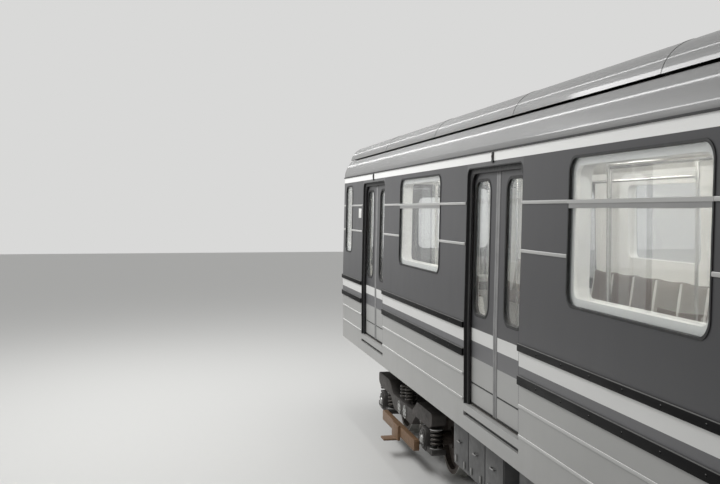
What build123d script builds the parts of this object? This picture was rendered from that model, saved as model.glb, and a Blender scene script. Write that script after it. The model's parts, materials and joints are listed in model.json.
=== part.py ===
from build123d import *
import math
import os

os.makedirs("parts", exist_ok=True)

# Metro car, an intermediate car of a third-rail train with four double sliding doors a side.
# X runs along the car, Y across it and Z up. The origin lies under the middle of the car,
# at the lowest points of the wheel flanges, so the rail head is one flange depth above it.

# Driving sizes in millimetres
skin_length = 18770.0
skin_width = 2680.0
corner_radius = 400.0
flange_depth = 28.0
floor_above_rail = 1208.0
floor_z = flange_depth + floor_above_rail

# Heights on the side, above the floor
skirt_drop = 210.0
waist_height = 661.0
cantrail_height = 1920.0
eaves_height = 1990.0
crown_height = 2500.0
side_lean = 30.0
cut_reach = max(skin_length, skin_width) * 2

# Layers of the side wall, from the outside in
skin_thickness = 40.0
leaf_clearance = 10.0
leaf_thickness = 35.0
lining_thickness = 25.0
lining_outer = skin_thickness + leaf_clearance + leaf_thickness + leaf_clearance
wall_thickness = lining_outer + lining_thickness
floor_thickness = 60.0

# Doorways
door_pitch = 4600.0
door_centres = [-1.5 * door_pitch, -0.5 * door_pitch, 0.5 * door_pitch, 1.5 * door_pitch]
doorway_width = 1330.0
doorway_height = 1890.0
doorway_radius = 70.0
seal_width = 61.0
seal_recess = 22.0
seal_drop = 46.0
seal_radius = 45.0
seal_rim = 8.0
seal_rim_inset = 1.0
leaf_gap = 3.0
leaf_overlap = 26.0
leaf_lift = 8.0
leaf_window_width = 410.0
leaf_window_offset = 383.0
leaf_window_bottom = 725.0
leaf_window_top = 1797.0
leaf_window_radius = 110.0
groove_height = 177.0
groove_width = 14.0
groove_depth = 4.0
slot_top = 60.0
slot_bottom = 95.0
slot_back = 12.0

# Lamp housings on the cantrail
lamp_width = 28.0
lamp_foot = 46.0
lamp_foot_height = 16.0
lamp_bottom = 1908.0
lamp_top = 1986.0
lamp_proud = 12.0

# Windows
window_width = 1650.0
window_bottom = 985.0
window_top = 1880.0
window_radius = 100.0
end_bay_window_width = 500.0
end_bay_window_x = 8580.0
gasket_width = 14.0
gasket_proud = 5.0
gasket_depth = 24.0
glass_thickness = 6.0
glass_inset = 10.0
transom_bottom = 1572.0
transom_top = 1622.0
reveal_margin = 58.0
reveal_thickness = 12.0
reveal_clearance = 2.0

# Ends of the car
end_door_width = 640.0
end_door_height = 1860.0
end_door_inset = 30.0
end_door_thickness = 40.0
end_gap = 6.0
end_window_width = 420.0
end_window_y = 690.0
handle_y = 402.0
handle_proud = 38.0
handle_radius = 13.0
handle_bottom = 700.0
handle_top = 1500.0
step_reach = 150.0
step_half = 300.0
step_drop = 30.0
step_thickness = 24.0
hinge_radius = 9.0
hinge_length = 70.0
hinge_heights = [220.0, 930.0, 1640.0]

# Running gear
bogie_centres = 12600.0
bogie_wheelbase = 2100.0
wheel_radius = 390.0
wheel_width = 130.0
back_to_back = 1360.0
axle_radius = 80.0
journal_radius = 65.0
journal_clearance = 0.5
journal_y = 1020.0
coupler_above_rail = 828.0
coupler_face_x = 9583.0
coupler_pivot_x = 8450.0

# Roof, heights above the floor and insets from the body's side
roof_edge_inset = 30.0
cove_inset = 78.0
cove_height = 2120.0
roof_step_inset = 170.0
roof_step_height = 2237.0
roof_crown_height = 2400.0
roof_thickness = 45.0
roof_drip = 12.0

# How the roof rounds off at its ends: distance from the end, drop of the section
roof_end_steps = [(-5.0, 66.0), (14.0, 30.0), (40.0, 9.0), (80.0, 0.0)]
shroud_edge_inset = 170.0
shroud_edge_height = 2256.0
shroud_side_inset = 237.0
shroud_side_height = 2375.0
shroud_shoulder_inset = 400.0
shroud_shoulder_height = 2447.0
shroud_thickness = 14.0
shroud_end_setback = 62.0
shroud_end_slope = 90.0
shroud_end_height = 2440.0
shroud_gap = 18.0
shroud_ribs = 4
rib_width = 30.0
ceiling_edge_height = 1960.0
ceiling_crown_height = 2160.0
ceiling_thickness = 16.0
light_y = 480.0
light_width = 120.0
light_depth = 34.0
light_length = 1500.0

# Ribs along the side: low edge, high edge and how far each stands out
strip_proud = 16.0
strip_end_y = 700.0
strip_rows = [(382.0, 445.0), (609.0, 661.0)]
moulding_proud = 9.0
moulding_height = 22.0
moulding_rows = [24.0, 229.0, 1275.0, 1600.0]
moulding_end_gap = 12.0

# Seats and handrails
seat_depth = 450.0
seat_height = 430.0
seat_back_top = 880.0
seat_cushion = 120.0
seat_back = 110.0
seat_door_gap = 100.0
seat_round = 22.0
rail_radius = 17.0
rail_gap = 5.0
rail_height = 1850.0

# Underframe and running gear
sill_depth = 140.0
sill_width = 110.0
bearer_depth = 120.0
bearer_width = 80.0
bearer_pitch = 1150.0
bolster_width = 520.0
plate_gap = 0.3
side_beam_width = 150.0
side_beam_y = 1020.0
side_beam_depth = 170.0
side_beam_drop = 130.0
spring_wire = 15.0
spring_turns = 4
spring_steps = 10
axle_spring_radius = 52.0
axle_spring_x = 220.0
bolster_spring_radius = 56.0
bolster_spring_x = 115.0
damper_radius = 28.0
damper_rod = 14.0
wing_drop = 85.0
wing_depth = 60.0
swing_bolster_width = 340.0
swing_bolster_depth = 150.0
bolster_spring_y = 1020.0
pivot_radius = 190.0
motor_radius = 250.0
motor_length = 720.0
motor_offset = 560.0
motor_above_axle = 12.0
gear_radius = 235.0
gear_width = 150.0
gear_y = 360.0
brake_gap = 8.0
brake_shoe_depth = 50.0
brake_shoe_width = 80.0
brake_shoe_inset = 36.0
brake_shoe_half_height = 150.0
brake_unit_length = 132.0
beam_above_axle = 317.0
beam_round = 45.0
swing_below_floor = 301.0
transom_x = 140.0
transom_radius = 60.0
transom_rise = 80.0
shoe_z = 190.0
shoe_reach = 1330.0
coupler_eye_height = 150.0
coupler_pin_radius = 45.0
jack_x = 4950.0
jack_depth = 30.0
jack_length = 160.0
jack_width = 100.0
bolster_extra = 30.0
bolster_hole_start = 480.0
bolster_hole_stop = 980.0
bolster_skin = 30.0
end_beam_width = 120.0
drag_beam_half = 90.0
drag_box_half = 165.0
eye_clearance = 5.0

# Cases under the floor: place along the car, length, height
case_rows = [(-3100.0, 1400.0, 560.0), (-1200.0, 1700.0, 600.0), (1000.0, 1900.0, 520.0),
             (3000.0, 1300.0, 580.0)]
case_chamfer = 45.0
lid_pitch = 470.0
lid_gap = 24.0
lid_proud = 7.0
lid_margin = 70.0
lid_round = 18.0
tank_hanger = 100.0
case_inner_y = 520.0
case_outer_y = 1180.0
tank_radius = 150.0
tank_length = 1500.0
tank_z = 820.0

half_length = skin_length / 2
half_width = skin_width / 2
door_half = doorway_width / 2
clear_half = door_half - seal_width
axle_z = flange_depth + wheel_radius
beam_top = axle_z + beam_above_axle
swing_top = floor_z - swing_below_floor
motor_centre_z = axle_z + motor_above_axle
skirt_z = floor_z - skirt_drop
ring_z = floor_z + eaves_height
hinge_x = half_length - side_lean - end_door_inset - end_door_thickness
hinge_y = end_door_width / 2 - end_gap


def box(x0, x1, y0, y1, z0, z1):
    """A block between two corners."""
    centre = Pos((x0 + x1) / 2, (y0 + y1) / 2, (z0 + z1) / 2)
    return centre * Box(x1 - x0, y1 - y0, z1 - z0)


def lean_at(height):
    """How far the side has leaned in at a height above the floor."""
    if height <= waist_height:
        return 0.0
    return side_lean * (height - waist_height) / (eaves_height - waist_height)


def plan_section(inset, height):
    """The plan of the body, a rectangle with round corners, at one height."""
    cut = inset + lean_at(height)
    plan = RectangleRounded(skin_length - 2 * cut, skin_width - 2 * cut, corner_radius - cut)
    return Pos(0, 0, floor_z + height) * plan


def body_block(inset, low, high):
    """The solid inside the body's surface between two heights above the floor."""
    heights = [low, high]
    if low < waist_height < high:
        heights = [low, waist_height, high]
    return loft([plan_section(inset, height) for height in heights], ruled=True)


def band(outer, inner, low, high):
    """A layer of the body's wall between two insets and two heights."""
    return body_block(outer, low, high) - body_block(inner, low, high)


def side_prism(x, low, high, width, radius):
    """A prism across the whole car with the outline of a window."""
    outline = RectangleRounded(width, high - low, radius)
    prism = extrude(Plane.XZ * outline, amount=skin_width, both=True)
    return Pos(x, 0, floor_z + (low + high) / 2) * prism


def end_prism(y, low, high, width, radius):
    """A prism along the whole car with the outline of an end window."""
    outline = RectangleRounded(width, high - low, radius)
    prism = extrude(Plane.YZ * outline, amount=skin_length, both=True)
    return Pos(0, y, floor_z + (low + high) / 2) * prism


def solids_of(*shapes):
    """All solids of some shapes, in one list."""
    found = []
    for shape in shapes:
        found.extend(shape.solids())
    return found


def save(name, *shapes):
    """Write one sub-part, as many solids as it has."""
    found = solids_of(*shapes)
    export_step(Compound(found) if len(found) > 1 else found[0], f"parts/{name}.step")


def side_half(sign):
    """Everything on one side of the car's middle plane."""
    y_far = sign * cut_reach
    return box(-cut_reach, cut_reach, min(0, y_far), max(0, y_far), 0, cut_reach)


# Windows of one side: place along the car, width and corner radius
side_windows = [(0.0, window_width, window_radius)]
side_windows += [(sign * door_pitch, window_width, window_radius) for sign in (-1, 1)]
side_windows += [(sign * end_bay_window_x, end_bay_window_width, window_radius) for sign in (-1, 1)]


def doorway_cutter(low, high, margin=0.0):
    """Blocks across the car that open all doorways between two heights."""
    reach = door_half + margin
    blocks = [
        box(x - reach, x + reach, -cut_reach, cut_reach, floor_z + low, floor_z + high)
        for x in door_centres
    ]
    return Compound(solids_of(*blocks))


def doorway_prisms(low, high, half, radius):
    """Prisms across the car with the outline of a doorway, its top corners round."""
    prisms = []
    for x in door_centres:
        prism = side_prism(x, low - 3 * radius, high, 2 * half, radius)
        cut = box(x - 2 * half, x + 2 * half, -cut_reach, cut_reach, 0, floor_z + low)
        prisms.append(prism - cut)
    return Compound(solids_of(*prisms))


def window_cutter(margin=0.0):
    """Prisms across the car that open all side windows, smaller by a margin."""
    prisms = []
    for x, width, radius in side_windows:
        low = window_bottom + margin
        high = window_top - margin
        prisms.append(side_prism(x, low, high, width - 2 * margin, radius - margin / 2))
    return Compound(solids_of(*prisms))


def end_window_cutter(margin=0.0):
    """Prisms along the car that open the two windows of each end wall."""
    prisms = []
    for sign in (-1, 1):
        low = window_bottom + margin
        high = window_top - margin
        width = end_window_width - 2 * margin
        prisms.append(end_prism(sign * end_window_y, low, high, width, window_radius - margin / 2))
    return Compound(solids_of(*prisms))


def make_walls():
    """The skin: side panels between the doorways, end walls, cantrail, sills and headers."""
    flat_y = half_width - corner_radius
    skin = band(0, skin_thickness, -skirt_drop, cantrail_height)
    skin -= doorway_cutter(-skirt_drop - 10, cantrail_height + 10)
    skin -= window_cutter()
    skin -= box(-cut_reach, cut_reach, -flat_y, flat_y, 0, cut_reach)
    save("side_wall_left", skin & side_half(1))
    save("side_wall_right", skin & side_half(-1))

    ends = band(0, wall_thickness, -skirt_drop, cantrail_height)
    ends &= box(-cut_reach, cut_reach, -flat_y, flat_y, 0, cut_reach)
    door_low = floor_z - 1
    door_high = floor_z + end_door_height
    door_y = end_door_width / 2
    ends -= box(-cut_reach, cut_reach, -door_y, door_y, door_low, door_high)
    ends -= end_window_cutter()
    for sign in (-1, 1):
        for height in hinge_heights:
            barrel = Cylinder(hinge_radius, hinge_length)
            web = Pos(0, sign * end_gap / 2, 0) * Box(hinge_radius, end_gap, hinge_length)
            ends += Pos(sign * hinge_x, sign * hinge_y, floor_z + height) * (barrel + web)
    ends += make_end_fittings()
    save("end_wall_front", ends & box(0, cut_reach, -cut_reach, cut_reach, 0, cut_reach))
    save("end_wall_rear", ends & box(-cut_reach, 0, -cut_reach, cut_reach, 0, cut_reach))

    lintel_low = doorway_height - doorway_radius
    lintels = band(0, skin_thickness, lintel_low, cantrail_height)
    lintels &= doorway_cutter(lintel_low, cantrail_height)
    lintels -= doorway_prisms(-skirt_drop, doorway_height, door_half, doorway_radius)
    save("cantrail", band(0, wall_thickness, cantrail_height, eaves_height) + lintels)

    bays = doorway_cutter(-skirt_drop, 0)
    sills = band(0, skin_thickness, -skirt_drop, 0) & bays
    sills -= band(-moulding_proud, skin_thickness - slot_back, -slot_bottom, -slot_top)
    save("door_sills", sills)

    outline = doorway_prisms(0, doorway_height, door_half, doorway_radius)
    rim_top = doorway_height - seal_rim
    rim_radius = doorway_radius - seal_rim
    rim = outline - doorway_prisms(-1, rim_top, door_half - seal_rim, rim_radius)
    rim &= band(seal_rim_inset, skin_thickness, 0, doorway_height)
    seal = outline - doorway_prisms(-1, doorway_height - seal_drop, clear_half, seal_radius)
    seal &= band(seal_recess, skin_thickness, 0, doorway_height)
    save("door_headers", rim + seal, *make_door_lamps())


def make_end_fittings():
    """Upright grab handles beside each end door, and the foot plate before it."""
    pieces = []
    bar_x = half_length + handle_proud
    for sign in (-1, 1):
        for y in (-handle_y, handle_y):
            bar = Cylinder(handle_radius, handle_top - handle_bottom)
            pieces.append(Pos(sign * bar_x, y, floor_z + (handle_bottom + handle_top) / 2) * bar)
            for height in (handle_bottom + handle_radius, handle_top - handle_radius):
                x0, x1 = sorted((sign * (half_length - side_lean - handle_radius), sign * bar_x))
                z = floor_z + height
                pieces.append(box(x0, x1, y - handle_radius * 0.8, y + handle_radius * 0.8,
                                  z - handle_radius * 0.8, z + handle_radius * 0.8))
        x0, x1 = sorted((sign * (half_length - skin_thickness), sign * (half_length + step_reach)))
        plate_low = floor_z - step_drop - step_thickness
        pieces.append(box(x0, x1, -step_half, step_half, plate_low, floor_z - step_drop))
    whole = pieces[0]
    for piece in pieces[1:]:
        whole += piece
    return whole


def make_door_lamps():
    """The small lamp housing on the cantrail over each doorway, with its wider foot."""
    outlines = []
    for x in door_centres:
        low_z = floor_z + lamp_bottom
        body = box(x - lamp_width / 2, x + lamp_width / 2, -cut_reach, cut_reach, low_z,
                   floor_z + lamp_top)
        foot = box(x - lamp_foot / 2, x + lamp_foot / 2, -cut_reach, cut_reach, low_z,
                   low_z + lamp_foot_height)
        outlines.append(body + foot)
    layer = band(-lamp_proud, 0, lamp_bottom, lamp_top)
    return solids_of(layer & Compound(solids_of(*outlines)))


def make_glazing():
    """Rubber frames with their transom bars, and the panes in them."""
    ring = band(-gasket_proud, gasket_depth, window_bottom - gasket_width, window_top + gasket_width)
    outlines = window_cutter()
    inner = window_cutter(gasket_width)
    end_outlines = end_window_cutter()
    end_inner = end_window_cutter(gasket_width)
    bars = band(-gasket_proud, gasket_depth, transom_bottom, transom_top)
    bead = band(-moulding_proud, 0, moulding_rows[-1], moulding_rows[-1] + moulding_height)
    main = [
        box(x - width / 2 - 1, x + width / 2 + 1, -cut_reach, cut_reach, 0, cut_reach)
        for x, width, radius in side_windows
        if width == window_width
    ]
    openings = inner - (bars & Compound(solids_of(*main)))
    frames = (ring & outlines) - openings
    frames += bead & outlines & Compound(solids_of(*main))
    end_frames = (ring & end_outlines) - end_inner
    save("window_frames", frames, end_frames)

    pane = band(glass_inset, glass_inset + glass_thickness, window_bottom, window_top)
    save("window_glass", pane & openings, pane & end_inner)


def make_inside():
    """Floor, linings with the window reveals, ceiling and its light strips."""
    floor = body_block(skin_thickness, -floor_thickness, 0)
    end_cut = half_length - wall_thickness
    floor &= box(-end_cut, end_cut, -cut_reach, cut_reach, 0, cut_reach)
    save("floor_panel", floor)

    lining = band(lining_outer, wall_thickness, 0, cantrail_height)
    border = band(gasket_depth, gasket_depth + reveal_thickness, window_bottom, window_top)
    border &= window_cutter(reveal_clearance)
    jamb = band(gasket_depth, lining_outer, window_bottom, window_top)
    jamb &= window_cutter(reveal_margin - reveal_thickness)
    lining += border + jamb
    lining -= window_cutter(reveal_margin)
    lining -= doorway_cutter(-1, doorway_height)
    lining_end = half_width - corner_radius
    lining -= box(-cut_reach, cut_reach, -lining_end, lining_end, 0, cut_reach)
    save("side_lining_left", lining & side_half(1))
    save("side_lining_right", lining & side_half(-1))


def arch_profile(edge, cove, step, crown, x=0.0):
    """A roof's section across the car at one place, from (y, height) points of its half."""
    points = [(y, floor_z + height) for y, height in (edge, cove, step, crown)]
    edge_p, cove_p, step_p, crown_p = points
    mirrored = [(-y, z) for y, z in points]
    with BuildSketch(Plane.YZ.offset(x)) as sketch:
        with BuildLine():
            ThreePointArc(edge_p, cove_p, step_p)
            ThreePointArc(step_p, crown_p, mirrored[2])
            ThreePointArc(mirrored[2], mirrored[1], mirrored[0])
            Line(mirrored[0], edge_p)
        make_face()
    return sketch.sketch


def roof_section(inset, x):
    """The roof's section, lower and narrower by an inset."""
    edge_y = half_width - roof_edge_inset - inset
    return arch_profile(
        (edge_y + roof_drip, eaves_height),
        (half_width - cove_inset - 0.8 * inset, cove_height - 0.6 * inset),
        (half_width - roof_step_inset - 0.4 * inset, roof_step_height - 0.9 * inset),
        (0, roof_crown_height - inset),
        x,
    )


def roof_block(inset):
    """The solid under the roof's surface, rounded off at its ends, smaller by an inset."""
    reach = half_length - roof_edge_inset - inset
    half = [roof_section(inset + drop, reach - back) for back, drop in roof_end_steps]
    other = [roof_section(inset + drop, back - reach) for back, drop in roof_end_steps]
    arch = loft(other + half[::-1], ruled=True)
    edge_y = half_width - roof_edge_inset - inset
    plan = RectangleRounded(2 * reach, 2 * edge_y, corner_radius - roof_edge_inset - inset)
    prism = Pos(0, 0, ring_z) * extrude(plan, amount=crown_height)
    return arch & prism


def make_roof():
    """The roof shell, and the ventilated shroud that stands on it."""
    outer = roof_block(0)
    save("roof", outer - roof_block(roof_thickness))

    edge_y = half_width - shroud_edge_inset
    shoulder_y = half_width - shroud_shoulder_inset
    covers = []
    for cut in (0.0, shroud_thickness):
        profile = arch_profile(
            (edge_y - cut, shroud_edge_height),
            (half_width - shroud_side_inset - 0.8 * cut, shroud_side_height - 0.6 * cut),
            (shoulder_y - 0.2 * cut, shroud_shoulder_height - cut),
            (0, crown_height - cut),
        )
        reach = half_length - shroud_end_setback - cut
        arch = extrude(profile, amount=reach, both=True)
        edge_z = floor_z + shroud_edge_height
        end_z = floor_z + shroud_end_height
        top_z = floor_z + crown_height
        side = [
            (-reach, edge_z - 1),
            (reach, edge_z - 1),
            (reach, end_z - cut),
            (reach - shroud_end_slope, top_z + 1 - cut),
            (-reach + shroud_end_slope, top_z + 1 - cut),
            (-reach, end_z - cut),
        ]
        wedge = extrude(Plane.XZ * make_face(Polyline(*side, close=True)), amount=cut_reach, both=True)
        covers.append(arch & wedge)
    cover = covers[0] - covers[1] - roof_block(-shroud_gap)
    ribs = covers[1] - roof_block(0)
    slabs = []
    for index in range(-shroud_ribs, shroud_ribs + 1):
        x = index * door_pitch / 2
        slabs.append(box(x - rib_width / 2, x + rib_width / 2, -cut_reach, cut_reach, ring_z, ring_z + cut_reach))
    ribs = ribs & Compound(solids_of(*slabs))
    save("roof_shroud", cover + ribs)


def make_ceiling():
    """The lining under the roof and its strips of lights."""
    edge_y = half_width - wall_thickness
    reach = half_length - wall_thickness
    room = body_block(wall_thickness, cantrail_height, ceiling_crown_height + 1)
    layers = []
    for cut in (0.0, ceiling_thickness):
        with BuildSketch(Plane.YZ) as sketch:
            with BuildLine():
                left = (-edge_y + cut, floor_z + ceiling_edge_height)
                right = (edge_y - cut, floor_z + ceiling_edge_height)
                ThreePointArc(right, (0, floor_z + ceiling_crown_height - cut), left)
                Line(left, right)
            make_face()
        layers.append(extrude(sketch.sketch, amount=reach, both=True))
    save("ceiling", (layers[0] - layers[1]) & room)

    top_z = ceiling_z(light_y + light_width / 2) - plate_gap
    lights = []
    for x in [index * door_pitch / 2 for index in range(-3, 4)]:
        for sign in (-1, 1):
            strip = Box(light_length, light_width, light_depth)
            strip = fillet(strip.edges().filter_by(Axis.X).group_by(Axis.Z)[0], light_depth * 0.45)
            lights.append(Pos(x, sign * light_y, top_z - light_depth / 2) * strip)
    save("ceiling_lights", *lights)


def make_ribs():
    """The rubbing strips and the thin mouldings of the side."""
    flat_x = half_length - corner_radius
    gaps = doorway_cutter(-skirt_drop, eaves_height)
    strips = []
    for low, high in strip_rows:
        strip = band(-strip_proud, 0, low, high) - gaps
        strips.append(strip - box(-cut_reach, cut_reach, -strip_end_y, strip_end_y, 0, cut_reach))

    edges = [-flat_x + moulding_end_gap]
    for x in door_centres:
        edges += [x - door_half - moulding_end_gap, x + door_half + moulding_end_gap]
    edges.append(flat_x - moulding_end_gap)
    runs = list(zip(edges[0::2], edges[1::2]))
    windows = window_cutter()
    pieces = []
    for height in moulding_rows:
        row = band(-moulding_proud, 0, height, height + moulding_height)
        if height > window_bottom:
            row -= windows
        for start, end in runs:
            pieces.append(row & box(start, end, -cut_reach, cut_reach, 0, cut_reach))
    save("side_ribs", *strips, *pieces)



def make_fittings():
    """Benches along the sides, the rails over them and the poles at their ends."""
    back_y = half_width - wall_thickness - lean_at(seat_back_top) - plate_gap
    front_y = back_y - seat_depth
    rail_y = front_y - rail_radius - rail_gap
    bays = []
    for index in range(-1, 2):
        reach = door_pitch / 2 - door_half - seat_door_gap
        bays.append((index * door_pitch - reach, index * door_pitch + reach))
    end_start = door_centres[-1] + door_half + seat_door_gap
    end_stop = half_length - corner_radius - seat_door_gap
    bays += [(end_start, end_stop), (-end_stop, -end_start)]

    low_z = floor_z + seat_height
    section = [
        (front_y, low_z - seat_cushion),
        (front_y, low_z - 15),
        (back_y - seat_back - 40, low_z - 35),
        (back_y - 75, floor_z + seat_back_top),
        (back_y, floor_z + seat_back_top),
        (back_y, low_z - seat_cushion),
    ]
    outline = make_face(Polyline(*section, close=True))
    outline = fillet(outline.vertices().sort_by(Axis.X)[:2], seat_round)
    outline = fillet(outline.vertices().group_by(Axis.Y)[-1], seat_round)
    profile = Plane.YZ * outline
    plinth_y = front_y + 130
    seats = []
    plinths = []
    rails = []
    poles = []
    for start, stop in bays:
        for sign in (-1, 1):
            bench = Pos(start, 0, 0) * extrude(profile, amount=stop - start)
            plinth = box(start + 20, stop - 20, plinth_y, back_y, floor_z, low_z - seat_cushion)
            if sign < 0:
                bench = mirror(bench, about=Plane.XZ)
                plinth = mirror(plinth, about=Plane.XZ)
            seats.append(bench)
            plinths.append(plinth)
            top = ceiling_z(rail_y + rail_radius) - plate_gap
            rail_z = floor_z + rail_height
            span = stop - start - 2 * (rail_radius + plate_gap)
            rail = Rot(0, 90, 0) * Cylinder(rail_radius, span)
            rails.append(Pos((start + stop) / 2, sign * rail_y, rail_z) * rail)
            for x in (start, stop):
                pole = Cylinder(rail_radius, top - floor_z)
                poles.append(Pos(x, sign * rail_y, (floor_z + top) / 2) * pole)
    save("seats", *seats)
    save("seat_plinths", *plinths)
    save("handrails", *rails)
    save("poles", *poles)


def ceiling_z(y):
    """Height of the ceiling's underside at a distance from the middle of the car."""
    edge_y = half_width - wall_thickness
    rise = ceiling_crown_height - ceiling_thickness - ceiling_edge_height
    half_chord = edge_y - ceiling_thickness
    radius = (half_chord**2 + rise**2) / (2 * rise)
    drop = radius - math.sqrt(radius**2 - y**2)
    return floor_z + ceiling_crown_height - ceiling_thickness - drop


def make_side_doors():
    """Eight doorways of two leaves. Each leaf is a frame with its own pane."""
    outer = skin_thickness + leaf_clearance
    low = leaf_lift
    high = cantrail_height - plate_gap
    layer = band(outer, outer + leaf_thickness, low, high)
    pane_layer = band(outer + 12, outer + 18, leaf_window_bottom, leaf_window_top)
    leaf_width = clear_half + leaf_overlap - leaf_gap / 2
    groove_low = groove_height - groove_width / 2
    groove = band(0, outer + groove_depth, groove_low, groove_low + groove_width)
    for row, side in ((-1, "right"), (1, "left")):
        half = side_half(row)
        for number, x in enumerate(door_centres, start=1):
            for sign, end in ((1, "front"), (-1, "rear")):
                near = x + sign * leaf_gap / 2
                far = near + sign * leaf_width
                slab = box(min(near, far), max(near, far), -cut_reach, cut_reach, 0, cut_reach)
                hole = side_prism(
                    x + sign * leaf_window_offset,
                    leaf_window_bottom,
                    leaf_window_top,
                    leaf_window_width,
                    leaf_window_radius,
                )
                leaf = (layer & slab & half) - hole - groove
                pane = pane_layer & hole & half
                save(f"door_{side}_{number}_{end}", leaf, pane)


def make_end_doors():
    """The hinged door at each end of the car, with its window."""
    width = end_door_width - 2 * end_gap
    for sign, name in ((1, "end_door_front"), (-1, "end_door_rear")):
        outer_x = hinge_x + end_door_thickness
        low = floor_z + leaf_lift
        high = floor_z + end_door_height - end_gap
        panel = box(outer_x - end_door_thickness, outer_x, -width / 2, width / 2, low, high)
        hole = end_prism(0, window_bottom, window_top - 130, width - 220, window_radius)
        pane = box(outer_x - 25, outer_x - 19, -width / 2, width / 2, low, high) & hole
        panel -= hole
        for height in hinge_heights:
            notch = Cylinder(hinge_radius + plate_gap, hinge_length + 2 * plate_gap)
            panel -= Pos(hinge_x, hinge_y, floor_z + height) * notch
        pieces = [panel, pane]
        if sign < 0:
            pieces = [Rot(0, 0, 180) * piece for piece in pieces]
        save(name, *pieces)


def make_underframe():
    """Side sills with jacking pads, cross bearers, bolsters with centre plates, and end beams."""
    top = floor_z - floor_thickness
    sill_out = half_width - skin_thickness
    sill_in = sill_out - sill_width
    reach = half_length - corner_radius
    end_x = half_length - wall_thickness
    sills = []
    for side in (-1, 1):
        low_y, high_y = sorted((side * sill_in, side * sill_out))
        sill = box(-reach, reach, low_y, high_y, top - sill_depth, top)
        for x in (-jack_x, jack_x):
            middle = Pos(x, side * (sill_out - sill_width / 2), top - sill_depth - jack_depth / 2)
            sill += middle * Box(jack_length, jack_width, jack_depth)
        sills.append(sill)
    save("underframe", *sills)

    members = []
    bolster_low = top - sill_depth - bolster_extra
    drag_low = flange_depth + coupler_above_rail + coupler_eye_height / 2 + eye_clearance
    for sign in (-1, 1):
        x = sign * bogie_centres / 2
        bolster = box(x - bolster_width / 2, x + bolster_width / 2, -sill_in, sill_in, bolster_low, top)
        for side in (-1, 1):
            low_y, high_y = sorted((side * bolster_hole_start, side * bolster_hole_stop))
            bolster -= box(x - bolster_width / 4, x + bolster_width / 4, low_y, high_y,
                           bolster_low - 1, top - bolster_skin)
        plate = Cylinder(pivot_radius, bolster_low - pivot_z())
        members.append(bolster + Pos(x, 0, (bolster_low + pivot_z()) / 2) * plate)

        low_x, high_x = sorted((sign * (reach - end_beam_width), sign * reach))
        end = box(low_x, high_x, -sill_in, sill_in, top - sill_depth, top)
        low_x, high_x = sorted((sign * reach, sign * end_x))
        flat_y = half_width - corner_radius
        end += box(low_x, high_x, -flat_y, flat_y, top - sill_depth, top)
        pivot_x = sign * coupler_pivot_x
        low_x, high_x = sorted((pivot_x, sign * reach))
        end += box(low_x, high_x, -drag_beam_half, drag_beam_half, top - sill_depth, top)
        end += box(pivot_x - drag_box_half, pivot_x + drag_box_half, -drag_box_half, drag_box_half,
                   drag_low, top)
        pin_length = coupler_eye_height + 2 * eye_clearance
        pin = Cylinder(coupler_pin_radius, pin_length)
        members.append(end + Pos(pivot_x, 0, drag_low - pin_length / 2) * pin)
    count = int((bogie_centres / 2 - bolster_width / 2 - bearer_width) // bearer_pitch)
    for index in range(-count, count + 1):
        x = index * bearer_pitch
        members.append(box(x - bearer_width / 2, x + bearer_width / 2, -sill_in, sill_in,
                           top - bearer_depth, top))
    save("cross_members", *members)


def pivot_z():
    """Height of the centre plate's lower face."""
    return swing_top + plate_gap


def coil_spring(radius, length):
    """A coil spring between two seats, standing on the origin."""
    height = length - 2 * spring_wire
    count = spring_turns * spring_steps
    points = []
    for index in range(count + 1):
        angle = 2 * math.pi * index / spring_steps
        z = spring_wire + height * index / count
        points.append((radius * math.cos(angle), radius * math.sin(angle), z))
    path = Polyline(*points)
    section = Plane(origin=path @ 0, z_dir=path % 0) * Circle(spring_wire)
    return sweep(section, path=path, transition=Transition.RIGHT)


def side_beam():
    """The outline of a bogie's side beam, cranked down between the axles."""
    half_base = bogie_wheelbase / 2
    top = beam_top
    low = beam_top - side_beam_depth
    drop = side_beam_drop
    right = [
        (half_base - 560, top - drop),
        (half_base - 330, top),
        (half_base + 300, top),
        (half_base + 300, low + 50),
        (half_base + 180, low),
        (half_base - 400, low),
        (half_base - 600, low - drop),
    ]
    left = [(-x, z) for x, z in right[::-1]]
    face = make_face(Polyline(*right, *left, close=True))
    face = fillet(face.vertices(), beam_round)
    return extrude(Plane.XZ * face, amount=side_beam_width / 2, both=True)


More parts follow.
